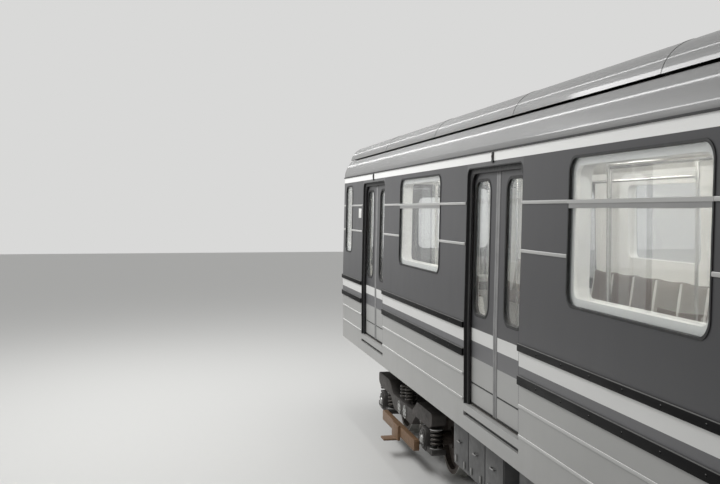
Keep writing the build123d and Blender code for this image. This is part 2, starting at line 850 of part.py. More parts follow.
def make_bogie(sign, name):
    """One bogie: side beams and tube transoms, swing bolster on springs, axleboxes and drives."""
    place = Pos(sign * bogie_centres / 2, 0, 0)
    half_base = bogie_wheelbase / 2
    low = beam_top - side_beam_depth
    transom_z = low - side_beam_drop + transom_rise
    beam = side_beam()
    frame = Pos(0, side_beam_y, 0) * beam + Pos(0, -side_beam_y, 0) * beam
    tube = Rot(90, 0, 0) * Cylinder(transom_radius, 2 * side_beam_y)
    for x in (-transom_x, transom_x):
        frame += Pos(x, 0, transom_z) * tube
    reach = side_beam_y + side_beam_width / 2 - 10
    swing = box(-swing_bolster_width / 2, swing_bolster_width / 2, -reach, reach,
                swing_top - swing_bolster_depth, swing_top)
    ends = swing.edges().filter_by(Axis.X).group_by(Axis.Z)[0]
    swing = chamfer(ends, swing_bolster_depth / 3)
    save(f"bogie_frame_{name}", place * frame, place * swing)

    springs = []
    seat_z = beam_top - side_beam_drop
    length = swing_top - swing_bolster_depth - seat_z
    coil = coil_spring(bolster_spring_radius, length)
    for y in (-bolster_spring_y, bolster_spring_y):
        for x in (-bolster_spring_x, bolster_spring_x):
            springs.append(Pos(x, y, seat_z) * coil)
        body = Pos(0, y, seat_z + length * 0.3) * Cylinder(damper_radius, length * 0.6)
        rod = Pos(0, y, seat_z + length / 2) * Cylinder(damper_rod, length)
        springs.append(body + rod)

    boxes = []
    wing_top = axle_z - wing_drop + wing_depth / 2
    coil = coil_spring(axle_spring_radius, low - wing_top)
    for x in (-half_base, half_base):
        for y in (-1, 1):
            body = Box(210, 170, 230)
            body = chamfer(body.edges().filter_by(Axis.Y), 35)
            body = Pos(x, y * journal_y, axle_z) * body
            wings = Box(620, side_beam_width, wing_depth)
            wings = chamfer(wings.edges().filter_by(Axis.Y).group_by(Axis.Z)[0], 25)
            body += Pos(x, y * journal_y, axle_z - wing_drop) * wings
            bore = Rot(90, 0, 0) * Cylinder(journal_radius + journal_clearance, 4 * journal_radius)
            body -= Pos(x, y * journal_y, axle_z) * bore
            cover = Rot(90, 0, 0) * Cylinder(100, 20)
            cover = chamfer(cover.edges().group_by(Axis.Y)[0 if y < 0 else -1], 6)
            body += Pos(x, y * (journal_y + 95), axle_z) * cover
            boxes.append(body)
            for step in (-1, 1):
                at = Pos(x + step * axle_spring_x, y * journal_y, wing_top)
                springs.append(at * coil)
    save(f"axleboxes_{name}", *[place * piece for piece in boxes])
    save(f"springs_{name}", *[place * piece for piece in springs])

    drives = []
    for end in (-1, 1):
        x = end * (half_base - motor_offset)
        motor = Rot(90, 0, 0) * Cylinder(motor_radius, motor_length)
        motor = fillet(motor.edges(), 40)
        drive = Pos(x, 60 * end, motor_centre_z) * motor
        case = Pos(end * half_base, 0, axle_z) * Rot(90, 0, 0) * Cylinder(gear_radius, gear_width)
        case += box(min(x, end * half_base), max(x, end * half_base), -gear_width / 2, gear_width / 2,
                    axle_z - 150, axle_z + 150)
        case = Pos(0, -gear_y * end, 0) * case
        axle_bore = Rot(90, 0, 0) * Cylinder(axle_radius + 6, 2 * motor_length)
        case -= Pos(end * half_base, 0, axle_z) * axle_bore
        low_x, high_x = sorted((end * transom_x, x))
        arm = box(low_x, high_x, -40, 40, transom_z - transom_radius, transom_z + transom_radius)
        arm -= Pos(end * transom_x, 0, transom_z) * Rot(90, 0, 0) * Cylinder(transom_radius + plate_gap, 200)
        drives.append(drive + case + arm)
    save(f"traction_motors_{name}", *[place * piece for piece in drives])
    save(f"brake_units_{name}", *[place * piece for piece in make_brakes()])

    beams = []
    for y in (-1, 1):
        near = y * (side_beam_y + side_beam_width / 2)
        far = near + y * 60
        reach = half_base - axle_spring_x
        beam = box(-reach, reach, min(near, far), max(near, far), axle_z - 188, axle_z - 68)
        beam = chamfer(beam.edges().filter_by(Axis.Y), 20)
        plate = box(-160, 160, min(far, far + y * 30), max(far, far + y * 30), shoe_z, axle_z - 60)
        tip_y = y * shoe_reach
        shoe = box(-90, 90, min(far, tip_y), max(far, tip_y), shoe_z - 10, shoe_z + 12)
        shoe = chamfer(shoe.edges().filter_by(Axis.Y).group_by(Axis.Z)[0], 10)
        beams.append(beam + plate + shoe)
    save(f"collector_gear_{name}", *[place * piece for piece in beams])


def make_brakes():
    """A shoe and its cylinder at each wheel, on the inner face of the side beam."""
    half_base = bogie_wheelbase / 2
    near_radius = wheel_radius + brake_gap
    far_radius = near_radius + brake_shoe_depth
    low_y = back_to_back / 2 + brake_shoe_inset
    high_y = low_y + brake_shoe_width
    beam_y = side_beam_y - side_beam_width / 2 - plate_gap
    units = []
    for end in (-1, 1):
        for side in (-1, 1):
            ring = Cylinder(far_radius, brake_shoe_width) - Cylinder(near_radius, brake_shoe_width)
            middle = Pos(end * half_base, side * (low_y + high_y) / 2, axle_z)
            shoe = middle * Rot(90, 0, 0) * ring
            x0, x1 = sorted((end * (half_base - far_radius - brake_gap), end * half_base))
            shoe &= box(x0, x1, -cut_reach, cut_reach, axle_z - brake_shoe_half_height,
                        axle_z + brake_shoe_half_height)
            back = end * (half_base - far_radius + brake_shoe_depth / 4)
            x0, x1 = sorted((back, back - end * brake_unit_length))
            y0, y1 = sorted((side * low_y, side * beam_y))
            unit = box(x0, x1, y0, y1, axle_z - 60, axle_z + 132)
            units.append(shoe + unit)
    return units


def make_wheelset(number, x):
    """An axle with its journals and two wheels, turned in one profile."""
    back = back_to_back / 2
    face = back + wheel_width
    flange_radius = wheel_radius + flange_depth
    half_profile = [
        (0, 0),
        (0, axle_radius),
        (back - 20, axle_radius),
        (back - 20, axle_radius + 30),
        (back + 15, axle_radius + 40),
        (back + 45, wheel_radius - 70),
        (back, wheel_radius - 60),
        (back, wheel_radius + 6),
        (back + 8, flange_radius),
        (back + 22, flange_radius),
        (back + 34, wheel_radius + 2),
        (face - 6, wheel_radius - 4),
        (face, wheel_radius - 10),
        (face, wheel_radius - 62),
        (back + 80, wheel_radius - 70),
        (back + 62, axle_radius + 42),
        (face + 6, axle_radius + 30),
        (face + 6, journal_radius + 8),
        (journal_y - 86, journal_radius + 8),
        (journal_y - 86, journal_radius),
        (journal_y + 80, journal_radius),
        (journal_y + 80, 0),
    ]
    with BuildSketch(Plane.YZ) as sketch:
        with BuildLine():
            Polyline(*half_profile, close=True)
        make_face()
    half = revolve(sketch.sketch, Axis.Y)
    whole = half + mirror(half, about=Plane.XZ)
    save(f"wheelset_{number}", Pos(x, 0, axle_z) * whole)


def make_couplers():
    """The automatic coupler at each end: head, shank and the eye on its pin."""
    z = flange_depth + coupler_above_rail
    face = coupler_face_x
    pivot = coupler_pivot_x
    head = box(face - 260, face, -150, 150, z - 130, z + 130)
    head = fillet(head.edges().filter_by(Axis.X), 35)
    head += box(face - 360, face - 260, -100, 100, z - 90, z + 90)
    shank = box(pivot, face - 330, -60, 60, z - 60, z + 60)
    shank = chamfer(shank.edges().filter_by(Axis.X), 15)
    housing = Rot(0, 90, 0) * Cylinder(92, 210)
    housing = chamfer(housing.edges(), 12)
    shank += Pos((pivot + face) / 2 - 90, 0, z) * housing
    contacts = box(face - 235, face - 12, -105, 105, z - 205, z - 128)
    head += chamfer(contacts.edges().filter_by(Axis.X).group_by(Axis.Z)[0], 18)
    eye = Pos(pivot, 0, z) * Cylinder(120, coupler_eye_height)
    whole = head + shank + eye
    whole -= Pos(face, 75, z) * Rot(0, 90, 0) * Cone(62, 45, 220)
    whole -= Pos(pivot, 0, z) * Cylinder(coupler_pin_radius + 1, 1000)
    save("coupler_front", whole)
    save("coupler_rear", Rot(0, 0, 180) * whole)


def make_equipment():
    """Cases with lids, and air reservoirs, hung below the floor between the bogies."""
    top = floor_z - floor_thickness - bearer_depth
    pieces = []
    for sign in (-1, 1):
        for x, length, drop in case_rows:
            near = sign * case_inner_y
            far = sign * case_outer_y
            case = box(x - length / 2, x + length / 2, min(near, far), max(near, far), top - drop, top)
            edges = case.edges().filter_by(Axis.X).group_by(Axis.Z)[0]
            case = chamfer(edges, case_chamfer)
            count = max(1, round(length / lid_pitch))
            pitch = length / count
            for index in range(count):
                lid_x = x - length / 2 + (index + 0.5) * pitch
                lid = Box(pitch - lid_gap, 2 * lid_proud, drop - 2 * lid_margin)
                lid = fillet(lid.edges().filter_by(Axis.Y), lid_round)
                case += Pos(lid_x, far, top - drop / 2) * lid
            pieces.append(case)
    for x in (-2 * bearer_pitch, 0, 2 * bearer_pitch):
        tank = Rot(0, 90, 0) * Cylinder(tank_radius, tank_length)
        tank = fillet(tank.edges(), tank_radius * 0.45)
        hanger = box(-bearer_width / 2, bearer_width / 2, -tank_hanger, tank_hanger, 0, top - tank_z)
        pieces.append(Pos(x, 0, tank_z) * (tank + hanger))
    save("underfloor_equipment", *pieces)


make_walls()
make_glazing()
make_inside()
make_roof()
make_ceiling()
make_ribs()
make_fittings()
make_side_doors()
make_end_doors()
make_underframe()
make_equipment()
make_couplers()
for bogie_sign, bogie_name in ((1, "front"), (-1, "rear")):
    make_bogie(bogie_sign, bogie_name)
for wheelset_number, (bogie_side, axle_side) in enumerate(((1, 1), (1, -1), (-1, 1), (-1, -1)), start=1):
    make_wheelset(wheelset_number, bogie_side * bogie_centres / 2 + axle_side * bogie_wheelbase / 2)
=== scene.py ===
"""Finish of a metro car: paint bands, glass, rubber, saloon, running gear, studio and camera."""

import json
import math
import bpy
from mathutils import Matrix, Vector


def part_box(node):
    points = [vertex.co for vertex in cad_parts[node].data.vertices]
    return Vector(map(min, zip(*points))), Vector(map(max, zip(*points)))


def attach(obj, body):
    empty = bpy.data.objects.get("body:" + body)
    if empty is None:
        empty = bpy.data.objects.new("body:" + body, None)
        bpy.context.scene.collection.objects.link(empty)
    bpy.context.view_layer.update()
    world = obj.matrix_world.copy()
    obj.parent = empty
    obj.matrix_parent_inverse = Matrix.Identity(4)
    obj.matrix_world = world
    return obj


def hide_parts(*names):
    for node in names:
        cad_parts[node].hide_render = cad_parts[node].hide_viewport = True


bl_info = {
    "name": "Metro Car Finish",
    "version": (1, 0, 0),
    "blender": (4, 5, 0),
    "location": "View3D > Sidebar > Metro Car",
    "description": "Finishes a metro car: paint bands, glazing, doors, saloon, underframe and bogies",
    "category": "Object",
}

import bmesh
import bpy
from bpy.props import FloatProperty, FloatVectorProperty, PointerProperty
from mathutils import Matrix, Vector

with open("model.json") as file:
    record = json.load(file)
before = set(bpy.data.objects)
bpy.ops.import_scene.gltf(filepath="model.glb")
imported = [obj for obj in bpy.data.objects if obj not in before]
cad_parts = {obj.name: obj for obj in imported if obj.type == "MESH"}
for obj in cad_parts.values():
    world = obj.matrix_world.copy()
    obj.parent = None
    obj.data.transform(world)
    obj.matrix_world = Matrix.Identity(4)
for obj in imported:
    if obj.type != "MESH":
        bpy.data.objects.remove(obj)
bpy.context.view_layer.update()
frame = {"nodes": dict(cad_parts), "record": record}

# Places that the CAD nodes give, and the car's main levels, in metres
BODY = "car_body"
FLOOR_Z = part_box("floor_panel")[1].z
HALF_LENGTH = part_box("side_wall_right")[1].x
HALF_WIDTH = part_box("side_wall_left")[1].y
AXLE_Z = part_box("wheelset_1")[1].z / 2
WAIST = 0.661
EAVES = 1.990
LEAN = 0.030
DOORWAYS = [-6.9, -2.3, 2.3, 6.9]
SIDES = {"right": -1, "left": 1}
ENDS = {"front": 1, "rear": -1}

# The body that each CAD node belongs to
RECORD = frame["record"]
BODY_OF = {name: body for body, names in RECORD["behaviour"]["bodies"].items() for name in names}

# Sizes of the body that the trim sits on, in metres; heights are above the floor
SKIN_DOORWAY_HALF = 0.665
RUBBING_STRIPS = [(0.382, 0.445), (0.609, 0.661)]
MOULDING = (1.5995, 1.6225)
GUTTER_PROUD = 0.010
PLATE_X = 7.75
PLATE_LOW = 1.452
PLATE_STUDS = 1.517
SHEET_PITCH = 2.3
TRANSOM = (1.572, 1.622)
MAIN_WINDOWS = [-4.6, 0.0, 4.6]
WINDOW_HALF = 0.825
GASKET = 0.014
LEAF_OUT = 0.050
LEAF_LOW = 0.008
LEAF_HIGH = 1.886
LEAF_WIDTH = 0.628
LEAF_WINDOW = (0.725, 1.797)
LEAF_WINDOW_X = 0.383
LEAF_WINDOW_WIDTH = 0.410
MEETING_WIDTH = 0.046
PANE_LIMIT = 0.034
GROOVE = (0.172, 0.182)
SLOT = (-0.095, -0.060)
CLEAR_HALF = 0.604
SEAL_TOP = 1.844
SEAL_CORNER = 0.105
END_WINDOW = (0.985, 1.750)
HANDLE_Y = 0.402
LEVER_HEIGHT = 0.930
FOOT_PLATE_HALF = 0.310
LAMP_HEIGHT = 1.955

# Sizes below the floor; heights are above the lowest point of the wheels
BEARER_PITCH = 1.15
CASES = [(-3.1, 1.4, 0.56), (-1.2, 1.7, 0.60), (1.0, 1.9, 0.52), (3.0, 1.3, 0.58)]
CASE_TOP = FLOOR_Z - 0.180
CASE_FACE = 1.187
LID_WIDTH = 0.47
HINGE_STEP = 0.13
TANK_Z = 0.820
TANK_RADIUS = 0.150
PIPE_PLACES = (-0.36, 0.30, 0.40)
PIPE_Z = FLOOR_Z - 0.200
PIPE_REACH = 5.7
BOGIE_X = 6.3
HALF_BASE = 1.05
JOURNAL_Y = 1.020
SPRING_STEP = 0.22
BOSS_STEP = 0.14
BEAM_LOW = AXLE_Z + 0.147
COUPLER_Z = 0.856
COUPLER_FACE = 9.583


def linear(hex_colour):
    """A colour written as sRGB hex, as the linear values that a shader takes."""
    parts = [int(hex_colour[i : i + 2], 16) / 255 for i in (1, 3, 5)]
    made = [c / 12.92 if c <= 0.04045 else ((c + 0.055) / 1.055) ** 2.4 for c in parts]
    return (*made, 1.0)


def with_alpha(colour, factor=1.0):
    """A colour made darker or lighter by a factor, with its alpha."""
    return (*(min(1, c * factor) for c in colour[:3]), 1.0)


# Materials


def feed(socket, value):
    """Link another node's output to an input, or set the input's value."""
    if isinstance(value, bpy.types.NodeSocket):
        socket.id_data.links.new(value, socket)
    else:
        socket.default_value = value


def node(tree, kind, inputs=None, **settings):
    """Add a node, set its properties, and feed its inputs."""
    made = tree.nodes.new(kind)
    for name, value in settings.items():
        setattr(made, name, value)
    for name, value in (inputs or {}).items():
        feed(made.inputs[name], value)
    return made


def start_material(name):
    """A material with a Principled shader and object coordinates."""
    material = bpy.data.materials.new(name)
    material.use_nodes = True
    tree = material.node_tree
    tree.nodes.clear()
    shader = node(tree, "ShaderNodeBsdfPrincipled")
    node(tree, "ShaderNodeOutputMaterial", {"Surface": shader.outputs[0]})
    place = node(tree, "ShaderNodeTexCoord").outputs["Object"]
    return material, shader, place


def set_shader(shader, **inputs):
    """Feed the shader's inputs; underscores in a name stand for spaces."""
    for name, value in inputs.items():
        feed(shader.inputs[name.replace("_", " ")], value)


def ramp(factor, stops, interpolation="LINEAR"):
    """A colour ramp with its stops given as (position, colour)."""
    made = node(factor.id_data, "ShaderNodeValToRGB", {"Fac": factor})
    made.color_ramp.interpolation = interpolation
    elements = made.color_ramp.elements
    while len(elements) < len(stops):
        elements.new(1.0)
    for element, (position, colour) in zip(elements, stops):
        element.position = position
        element.color = colour
    return made.outputs["Color"]


def blotches(place, size, detail=4.0, stretch=(1, 1, 1)):
    """Soft noise whose patches are about as large as the size, in metres."""
    tree = place.id_data
    mapped = node(tree, "ShaderNodeMapping", {"Vector": place, "Scale": stretch}).outputs[0]
    inputs = {"Vector": mapped, "Scale": 1 / size, "Detail": detail, "Roughness": 0.6}
    return node(tree, "ShaderNodeTexNoise", inputs).outputs["Fac"]


def cells_of(place, size):
    """Small cells of the size, in metres, as the distance from their middles."""
    inputs = {"Vector": place, "Scale": 1 / size}
    return node(place.id_data, "ShaderNodeTexVoronoi", inputs).outputs["Distance"]


def remap(value, low, high, new_low, new_high):
    """A value's range stretched onto another one."""
    inputs = {"Value": value, "From Min": low, "From Max": high, "To Min": new_low, "To Max": new_high}
    return node(value.id_data, "ShaderNodeMapRange", inputs).outputs[0]


def mixed(factor, first, second):
    """Two colours mixed by a factor."""
    inputs = {0: factor, 6: first, 7: second}
    return node(factor.id_data, "ShaderNodeMix", inputs, data_type="RGBA").outputs[2]


def combined(operation, first, second):
    """A socket's value put together with another value by an operation of arithmetic."""
    inputs = {0: first, 1: second}
    return node(first.id_data, "ShaderNodeMath", inputs, operation=operation).outputs[0]


def bumped(height, strength, distance, under=None):
    """A normal from a height, with its depth in metres, perhaps over another normal."""
    inputs = {"Height": height, "Strength": strength, "Distance": distance}
    if under is not None:
        inputs["Normal"] = under
    return node(height.id_data, "ShaderNodeBump", inputs).outputs[0]


def height_of(place):
    """The upward part of a point or direction."""
    return node(place.id_data, "ShaderNodeSeparateXYZ", {"Vector": place}).outputs["Z"]


def plain_finish(name, colour, roughness, metallic=0.0, patch=0.4, spread=0.08, grain=0.0008,
                 grain_depth=0.0001):
    """A finish with soft patches of tone, a fine grain in its bump and some uneven gloss."""
    material, shader, place = start_material(name)
    patches = blotches(place, patch)
    stops = [(0.35, with_alpha(colour, 1 - spread)), (0.65, with_alpha(colour, 1 + spread))]
    tint = ramp(patches, stops)
    gloss = remap(blotches(place, patch * 0.3), 0.3, 0.7, roughness * 0.85, roughness * 1.15)
    fine = blotches(place, grain, detail=2.0)
    normal = bumped(fine, 0.4, grain_depth)
    set_shader(shader, Base_Color=tint, Roughness=gloss, Metallic=metallic, Normal=normal)
    return material


def enamel_bands(name, bands, top_colour):
    """Brushed alkyd enamel in bands of height: satin gloss, slightly wavy sheet, darker and browner
    towards the foot in upright streaks.
    """
    material, shader, place = start_material(name)
    height = height_of(place)
    low = FLOOR_Z - 0.3
    span = 2.4
    stops = [((FLOOR_Z + start - low) / span, colour) for start, colour in bands]
    factor = remap(height, low, low + span, 0, 1)
    paint = ramp(factor, stops, "CONSTANT")
    patches = blotches(place, 0.9, stretch=(0.4, 1, 1.4))
    toned = mixed(remap(patches, 0.3, 0.7, 0.0, 0.12), paint, top_colour)
    # Darker and browner towards the foot, in upright streaks
    foot_weight = remap(height, FLOOR_Z - 0.2, FLOOR_Z + 0.45, 1, 0)
    streaks = blotches(place, 0.12, stretch=(1, 1, 0.25))
    dust = combined("MULTIPLY", foot_weight, streaks)
    darkened_foot = mixed(remap(dust, 0, 1, 0, 0.22), toned, linear("#7d7a75"))
    gloss = remap(streaks, 0.3, 0.7, 0.34, 0.36)
    wavy = blotches(place, 0.55, detail=1.0)
    peel = blotches(place, 0.004, detail=2.0)
    skin = bumped(peel, 0.1, 0.0003, under=bumped(wavy, 0.35, 0.01))
    set_shader(shader, Base_Color=darkened_foot, Roughness=gloss, Normal=skin, Specular_IOR_Level=0.28)
    return material


def edge_lit_enamel(name, dark, light, specular=0.25):
    """Dark enamel on a raised steel rib, with a painted highlight: its faces that look up are mixed
    toward a light colour, in patches.
    """
    material, shader, place = start_material(name)
    normal = node(material.node_tree, "ShaderNodeNewGeometry").outputs["Normal"]
    up = height_of(normal)
    wear_and_highlight_patches = blotches(place, 0.08, detail=5.0, stretch=(0.2, 1, 1))
    # Painted highlight: faces that look up take the light colour, in patches
    painted_highlight_mask = remap(up, 0.25, 0.6, 0, 1)
    patchy_highlight = remap(wear_and_highlight_patches, 0.2, 0.5, 0.6, 1.0)
    tint = mixed(combined("MULTIPLY", painted_highlight_mask, patchy_highlight), dark, light)
    grain = blotches(place, 0.002, detail=2.0)
    set_shader(shader, Base_Color=tint, Roughness=remap(wear_and_highlight_patches, 0.2, 0.8, 0.45, 0.6),
               Specular_IOR_Level=specular, Normal=bumped(grain, 0.2, 0.0002))
    return material


def roof_enamel(name, colour):
    """Grey enamel on rolled sheet: brake dust lies in soft patches, the clear surface mirrors a row
    of lamps as one line."""
    material, shader, place = start_material(name)
    dust = blotches(place, 0.9, stretch=(0.3, 1, 1))
    tint = ramp(dust, [(0.3, with_alpha(colour, 0.86)), (0.7, colour)])
    sheet = blotches(place, 1.1, detail=0.0, stretch=(0.5, 1, 1))
    set_shader(shader, Base_Color=tint, Roughness=remap(dust, 0.3, 0.7, 0.5, 0.42),
               Specular_IOR_Level=0.3, Coat_Weight=0.4, Coat_Roughness=0.07,
               Normal=bumped(sheet, 0.04, 0.004))
    return material


def brushed_metal(name, colour, roughness, grain_size, direction):
    """Metal drawn or brushed along one way, with fine lines that spread its shine."""
    material, shader, place = start_material(name)
    lines = blotches(place, grain_size, detail=3.0, stretch=direction)
    tint = ramp(lines, [(0.3, with_alpha(colour, 0.9)), (0.7, colour)])
    gloss = remap(lines, 0.2, 0.8, roughness * 0.75, roughness * 1.3)
    set_shader(shader, Base_Color=tint, Metallic=1.0, Roughness=gloss,
               Normal=bumped(lines, 0.15, 0.0002))
    return material


def clear_glass(name, tint, alpha):
    """Toughened float glass: clear and smooth, with a faint roller wave in its reflections."""
    material, shader, place = start_material(name)
    wave = blotches(place, 0.5, detail=0.5, stretch=(1, 1, 0.3))
    set_shader(shader, Base_Color=tint, Roughness=0.03, Transmission_Weight=0.9, IOR=1.5,
               Alpha=alpha, Normal=bumped(wave, 0.1, 0.002))
    return material


def rolled_wheel(name):
    """Rolled steel wheel: brown-grey mill skin on the disc, a tread polished by rolling."""
    material, shader, place = start_material(name)
    tree = material.node_tree
    split = node(tree, "ShaderNodeSeparateXYZ", {"Vector": place})
    drop = combined("SUBTRACT", split.outputs["Z"], AXLE_Z)
    nearest = HALF_LENGTH
    for axle in ("wheelset_1", "wheelset_2", "wheelset_3", "wheelset_4"):
        low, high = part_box(axle)
        along = combined("SUBTRACT", split.outputs["X"], (low.x + high.x) / 2)
        flat = node(tree, "ShaderNodeCombineXYZ", {"X": along, "Z": drop}).outputs[0]
        distance = node(tree, "ShaderNodeVectorMath", {0: flat}, operation="LENGTH").outputs["Value"]
        nearest = combined("MINIMUM", distance, nearest)
    tread = remap(nearest, 0.374, 0.381, 0, 1)
    rust = blotches(place, 0.03, detail=6.0)
    disc = ramp(rust, [(0.3, linear("#35302c")), (0.7, linear("#5a5048"))])
    tint = mixed(tread, disc, linear("#b9b8b4"))
    set_shader(shader, Base_Color=tint, Metallic=remap(tread, 0, 1, 0.45, 1.0),
               Roughness=remap(tread, 0, 1, 0.62, 0.22),
               Normal=bumped(rust, 0.3, 0.0006))
    return material


def light_cover(name, strength):
    """Opal acrylic over tubes: an even glow behind a finely pebbled face."""
    material, shader, place = start_material(name)
    cells = blotches(place, 0.003, detail=1.0)
    set_shader(shader, Base_Color=linear("#f4f3ee"), Roughness=0.35,
               Emission_Color=linear("#fffdf6"), Emission_Strength=strength,
               Normal=bumped(cells, 0.2, 0.0003))
    return material


def speckled_sheet(name, base, fleck, fleck_size, roughness, worn):
    """Sheet flooring with flecks, worn in long patches where feet pass."""
    material, shader, place = start_material(name)
    cells = cells_of(place, fleck_size)
    flecked = mixed(remap(cells, 0.12, 0.2, 1, 0), base, fleck)
    paths = blotches(place, 0.8, detail=3.0, stretch=(0.3, 1, 1))
    tint = mixed(remap(paths, 0.45, 0.7, 0, 0.6), flecked, worn)
    set_shader(shader, Base_Color=tint, Roughness=roughness,
               Normal=bumped(cells, 0.2, 0.0003))
    return material


def grained_vinyl(name, colour, cell):
    """Embossed vinyl on foam: small soft cells, a dull sheen, lighter where it's rubbed."""
    material, shader, place = start_material(name)
    cells = cells_of(place, cell)
    rubbed = blotches(place, 0.25)
    tint = ramp(rubbed, [(0.35, colour), (0.7, with_alpha(colour, 1.35))])
    set_shader(shader, Base_Color=tint, Roughness=remap(rubbed, 0.3, 0.7, 0.42, 0.55),
               Normal=bumped(cells, 0.5, 0.0006))
    return material


materials = {}


def make_materials(paint):
    """All finishes, by the piece of the car that wears them."""
    upper = with_alpha(paint.upper_colour)
    lower = with_alpha(paint.lower_colour)
    white = with_alpha(paint.stripe_colour)
    dark = with_alpha(paint.dark_stripe_colour)
    cantrail = with_alpha(paint.cantrail_colour)
    side = [(-0.30, lower), (0.382, dark), (0.500, white), (0.609, upper)]
    leaf = [(-0.30, lower), (0.383, dark), (0.510, white), (0.612, upper)]
    over_doors = [(-0.30, upper), (1.920, cantrail)]
    materials.update(
        # Alkyd enamel brushed on steel sheet: satin bands with crisp edges, darker and browner low down
        side=enamel_bands("alkyd enamel side bands", side, upper),
        leaf=enamel_bands("alkyd enamel door bands", leaf, upper),
        cantrail=enamel_bands("alkyd enamel cantrail bands", over_doors, cantrail),
        # The roof's enamel: a mirrored line of light along the cove, dull dust above it
        roof=roof_enamel("grey roof enamel", with_alpha(paint.roof_colour)),
        # Stove enamel on steel strips: near black, with a grey painted highlight along the upper face
        rib=edge_lit_enamel("black rib enamel", linear("#0a0a0b"), linear("#7c7c7a"), 0.08),
        # Pale enamel on pressed mouldings: thin light lines, with a near-white painted highlight where
        # they face up
        moulding=edge_lit_enamel("pale moulding enamel", linear("#b0b0ae"), linear("#f6f6f4")),
        # Nitrile rubber, extruded: black, dull, with a grey bloom in patches; the same black is also
        # painted shade in the sill slots, the leaf grooves and the recess over each doorway
        rubber=plain_finish("black nitrile rubber", linear("#161617"), 0.6, spread=0.2, patch=0.1),
        # Chloroprene rubber, extruded: mid grey and matt
        grey_rubber=plain_finish("grey edge rubber", linear("#7b7b7b"), 0.6, spread=0.1, patch=0.1),
        # Toughened float glass: clear, mirror smooth, with a faint roller wave
        glass=clear_glass("toughened glass", linear("#e8eeee"), 0.35),
        # Sprayed lacquer on pressed window surrounds: clean white, half gloss
        reveal=plain_finish("white lacquered reveal", linear("#f0f0ed"), 0.35, spread=0.02),
        # Melamine laminate: cream, half matt, with a fine mottled print
        lining=plain_finish("cream laminate lining", with_alpha(paint.lining_colour), 0.4, spread=0.03,
                            patch=0.02),
        # Rolled lacquer on ceiling sheet: soft white that spreads the light
        ceiling=plain_finish("white ceiling lacquer", linear("#ecebe6"), 0.45, spread=0.02),
        # Moulded opal acrylic: an even glow that hides its tubes
        light=light_cover("opal acrylic light", 15.0),
        # Calendered linoleum: small pale flecks, worn lighter where feet pass
        floor=speckled_sheet("flecked linoleum", linear("#5a5753"), linear("#8d8a84"), 0.006, 0.45,
                             linear("#6c6964")),
        # Embossed vinyl on foam: soft cells, a dull sheen, rubbed lighter on the crown
        seat=grained_vinyl("embossed vinyl", with_alpha(paint.seat_colour), 0.0035),
        # Polished stainless tube: bright, with drawn lines along its length
        tube=brushed_metal("polished stainless tube", linear("#d9d9d8"), 0.16, 0.01, (1, 1, 0.05)),
        # Chassis paint, sprayed on scale: flat black with grey dust in patches
        chassis=plain_finish("matt chassis paint", linear("#2b2b2b"), 0.6, spread=0.25, patch=0.2,
                             grain=0.003, grain_depth=0.0004),
        # Case paint on sheet steel: mid grey, slightly rough
        case=plain_finish("grey case paint", linear("#4a4a4a"), 0.55, spread=0.2, patch=0.25,
                          grain=0.003, grain_depth=0.0004),
        # Sand-cast steel: a coarse skin, brown-black, hardly shining
        cast=plain_finish("rough cast steel", linear("#3b3937"), 0.62, metallic=0.4, spread=0.3,
                          patch=0.08, grain=0.004, grain_depth=0.0012),
        # Coiled spring steel under oil: dark with a soft line of shine on each turn
        spring=brushed_metal("oiled spring steel", linear("#4d4a47"), 0.42, 0.01, (1, 1, 1)),
        # Rolled steel wheel: brown disc, tread polished by rolling
        wheel=rolled_wheel("rolled steel wheel"),
        # Resin-pressed laminated beam: brown with darker layers
        beam=plain_finish("laminated shoe beam", linear("#6b5138"), 0.55, spread=0.2, patch=0.03),
        # Zinc-plated drawn tube: pale grey, brushed along
        zinc=brushed_metal("zinc plated pipe", linear("#9a9a98"), 0.38, 0.02, (0.1, 1, 1)),
        # Enamelled sheet: a blank white plate, half gloss
        plate=plain_finish("blank white plate", linear("#dededb"), 0.35, spread=0.02),
        # Plated screw steel: small grey glints
        screw=brushed_metal("plated screw heads", linear("#a9a9a7"), 0.35, 0.002, (1, 1, 1)),
        # Enamel on the window's cross bar: light grey, half gloss
        transom=plain_finish("grey transom enamel", linear("#8e8e8d"), 0.35, spread=0.03),
        # Painted shadow on the gutter's lip: near black, dull and uneven, the shadow line between the
        # white band and the roof
        gutter=plain_finish("gutter painted shadow", linear("#262627"), 0.7, spread=0.15, patch=0.08),
        # Stove enamel on the lamp housings: black, half gloss
        lamp=plain_finish("black lamp housing enamel", linear("#1d1d1e"), 0.35, spread=0.1, patch=0.02),
        # Smoked acrylic lens: dark brown, very glossy
        lens=plain_finish("smoked acrylic lens", linear("#2a2420"), 0.08, spread=0.05, patch=0.01),
        # Reservoir enamel: black, smoother than the chassis
        tank=plain_finish("black reservoir enamel", linear("#242424"), 0.42, spread=0.2, patch=0.3,
                          grain=0.003, grain_depth=0.0003),
        # Bogie paint under brake dust: brown-black, flat, blotched
        bogie=plain_finish("brake dusted bogie paint", linear("#373330"), 0.68, spread=0.3, patch=0.15,
                           grain=0.003, grain_depth=0.0005),
        # Extruded vinyl piping: darker than the seat it edges
        piping=plain_finish("vinyl seat piping", linear("#241d19"), 0.5, spread=0.1, patch=0.05),
    )


# Shapes


def linked(name, data):
    """An object of the scene that holds the data."""
    made = bpy.data.objects.new(name, data)
    bpy.context.scene.collection.objects.link(made)
    return made


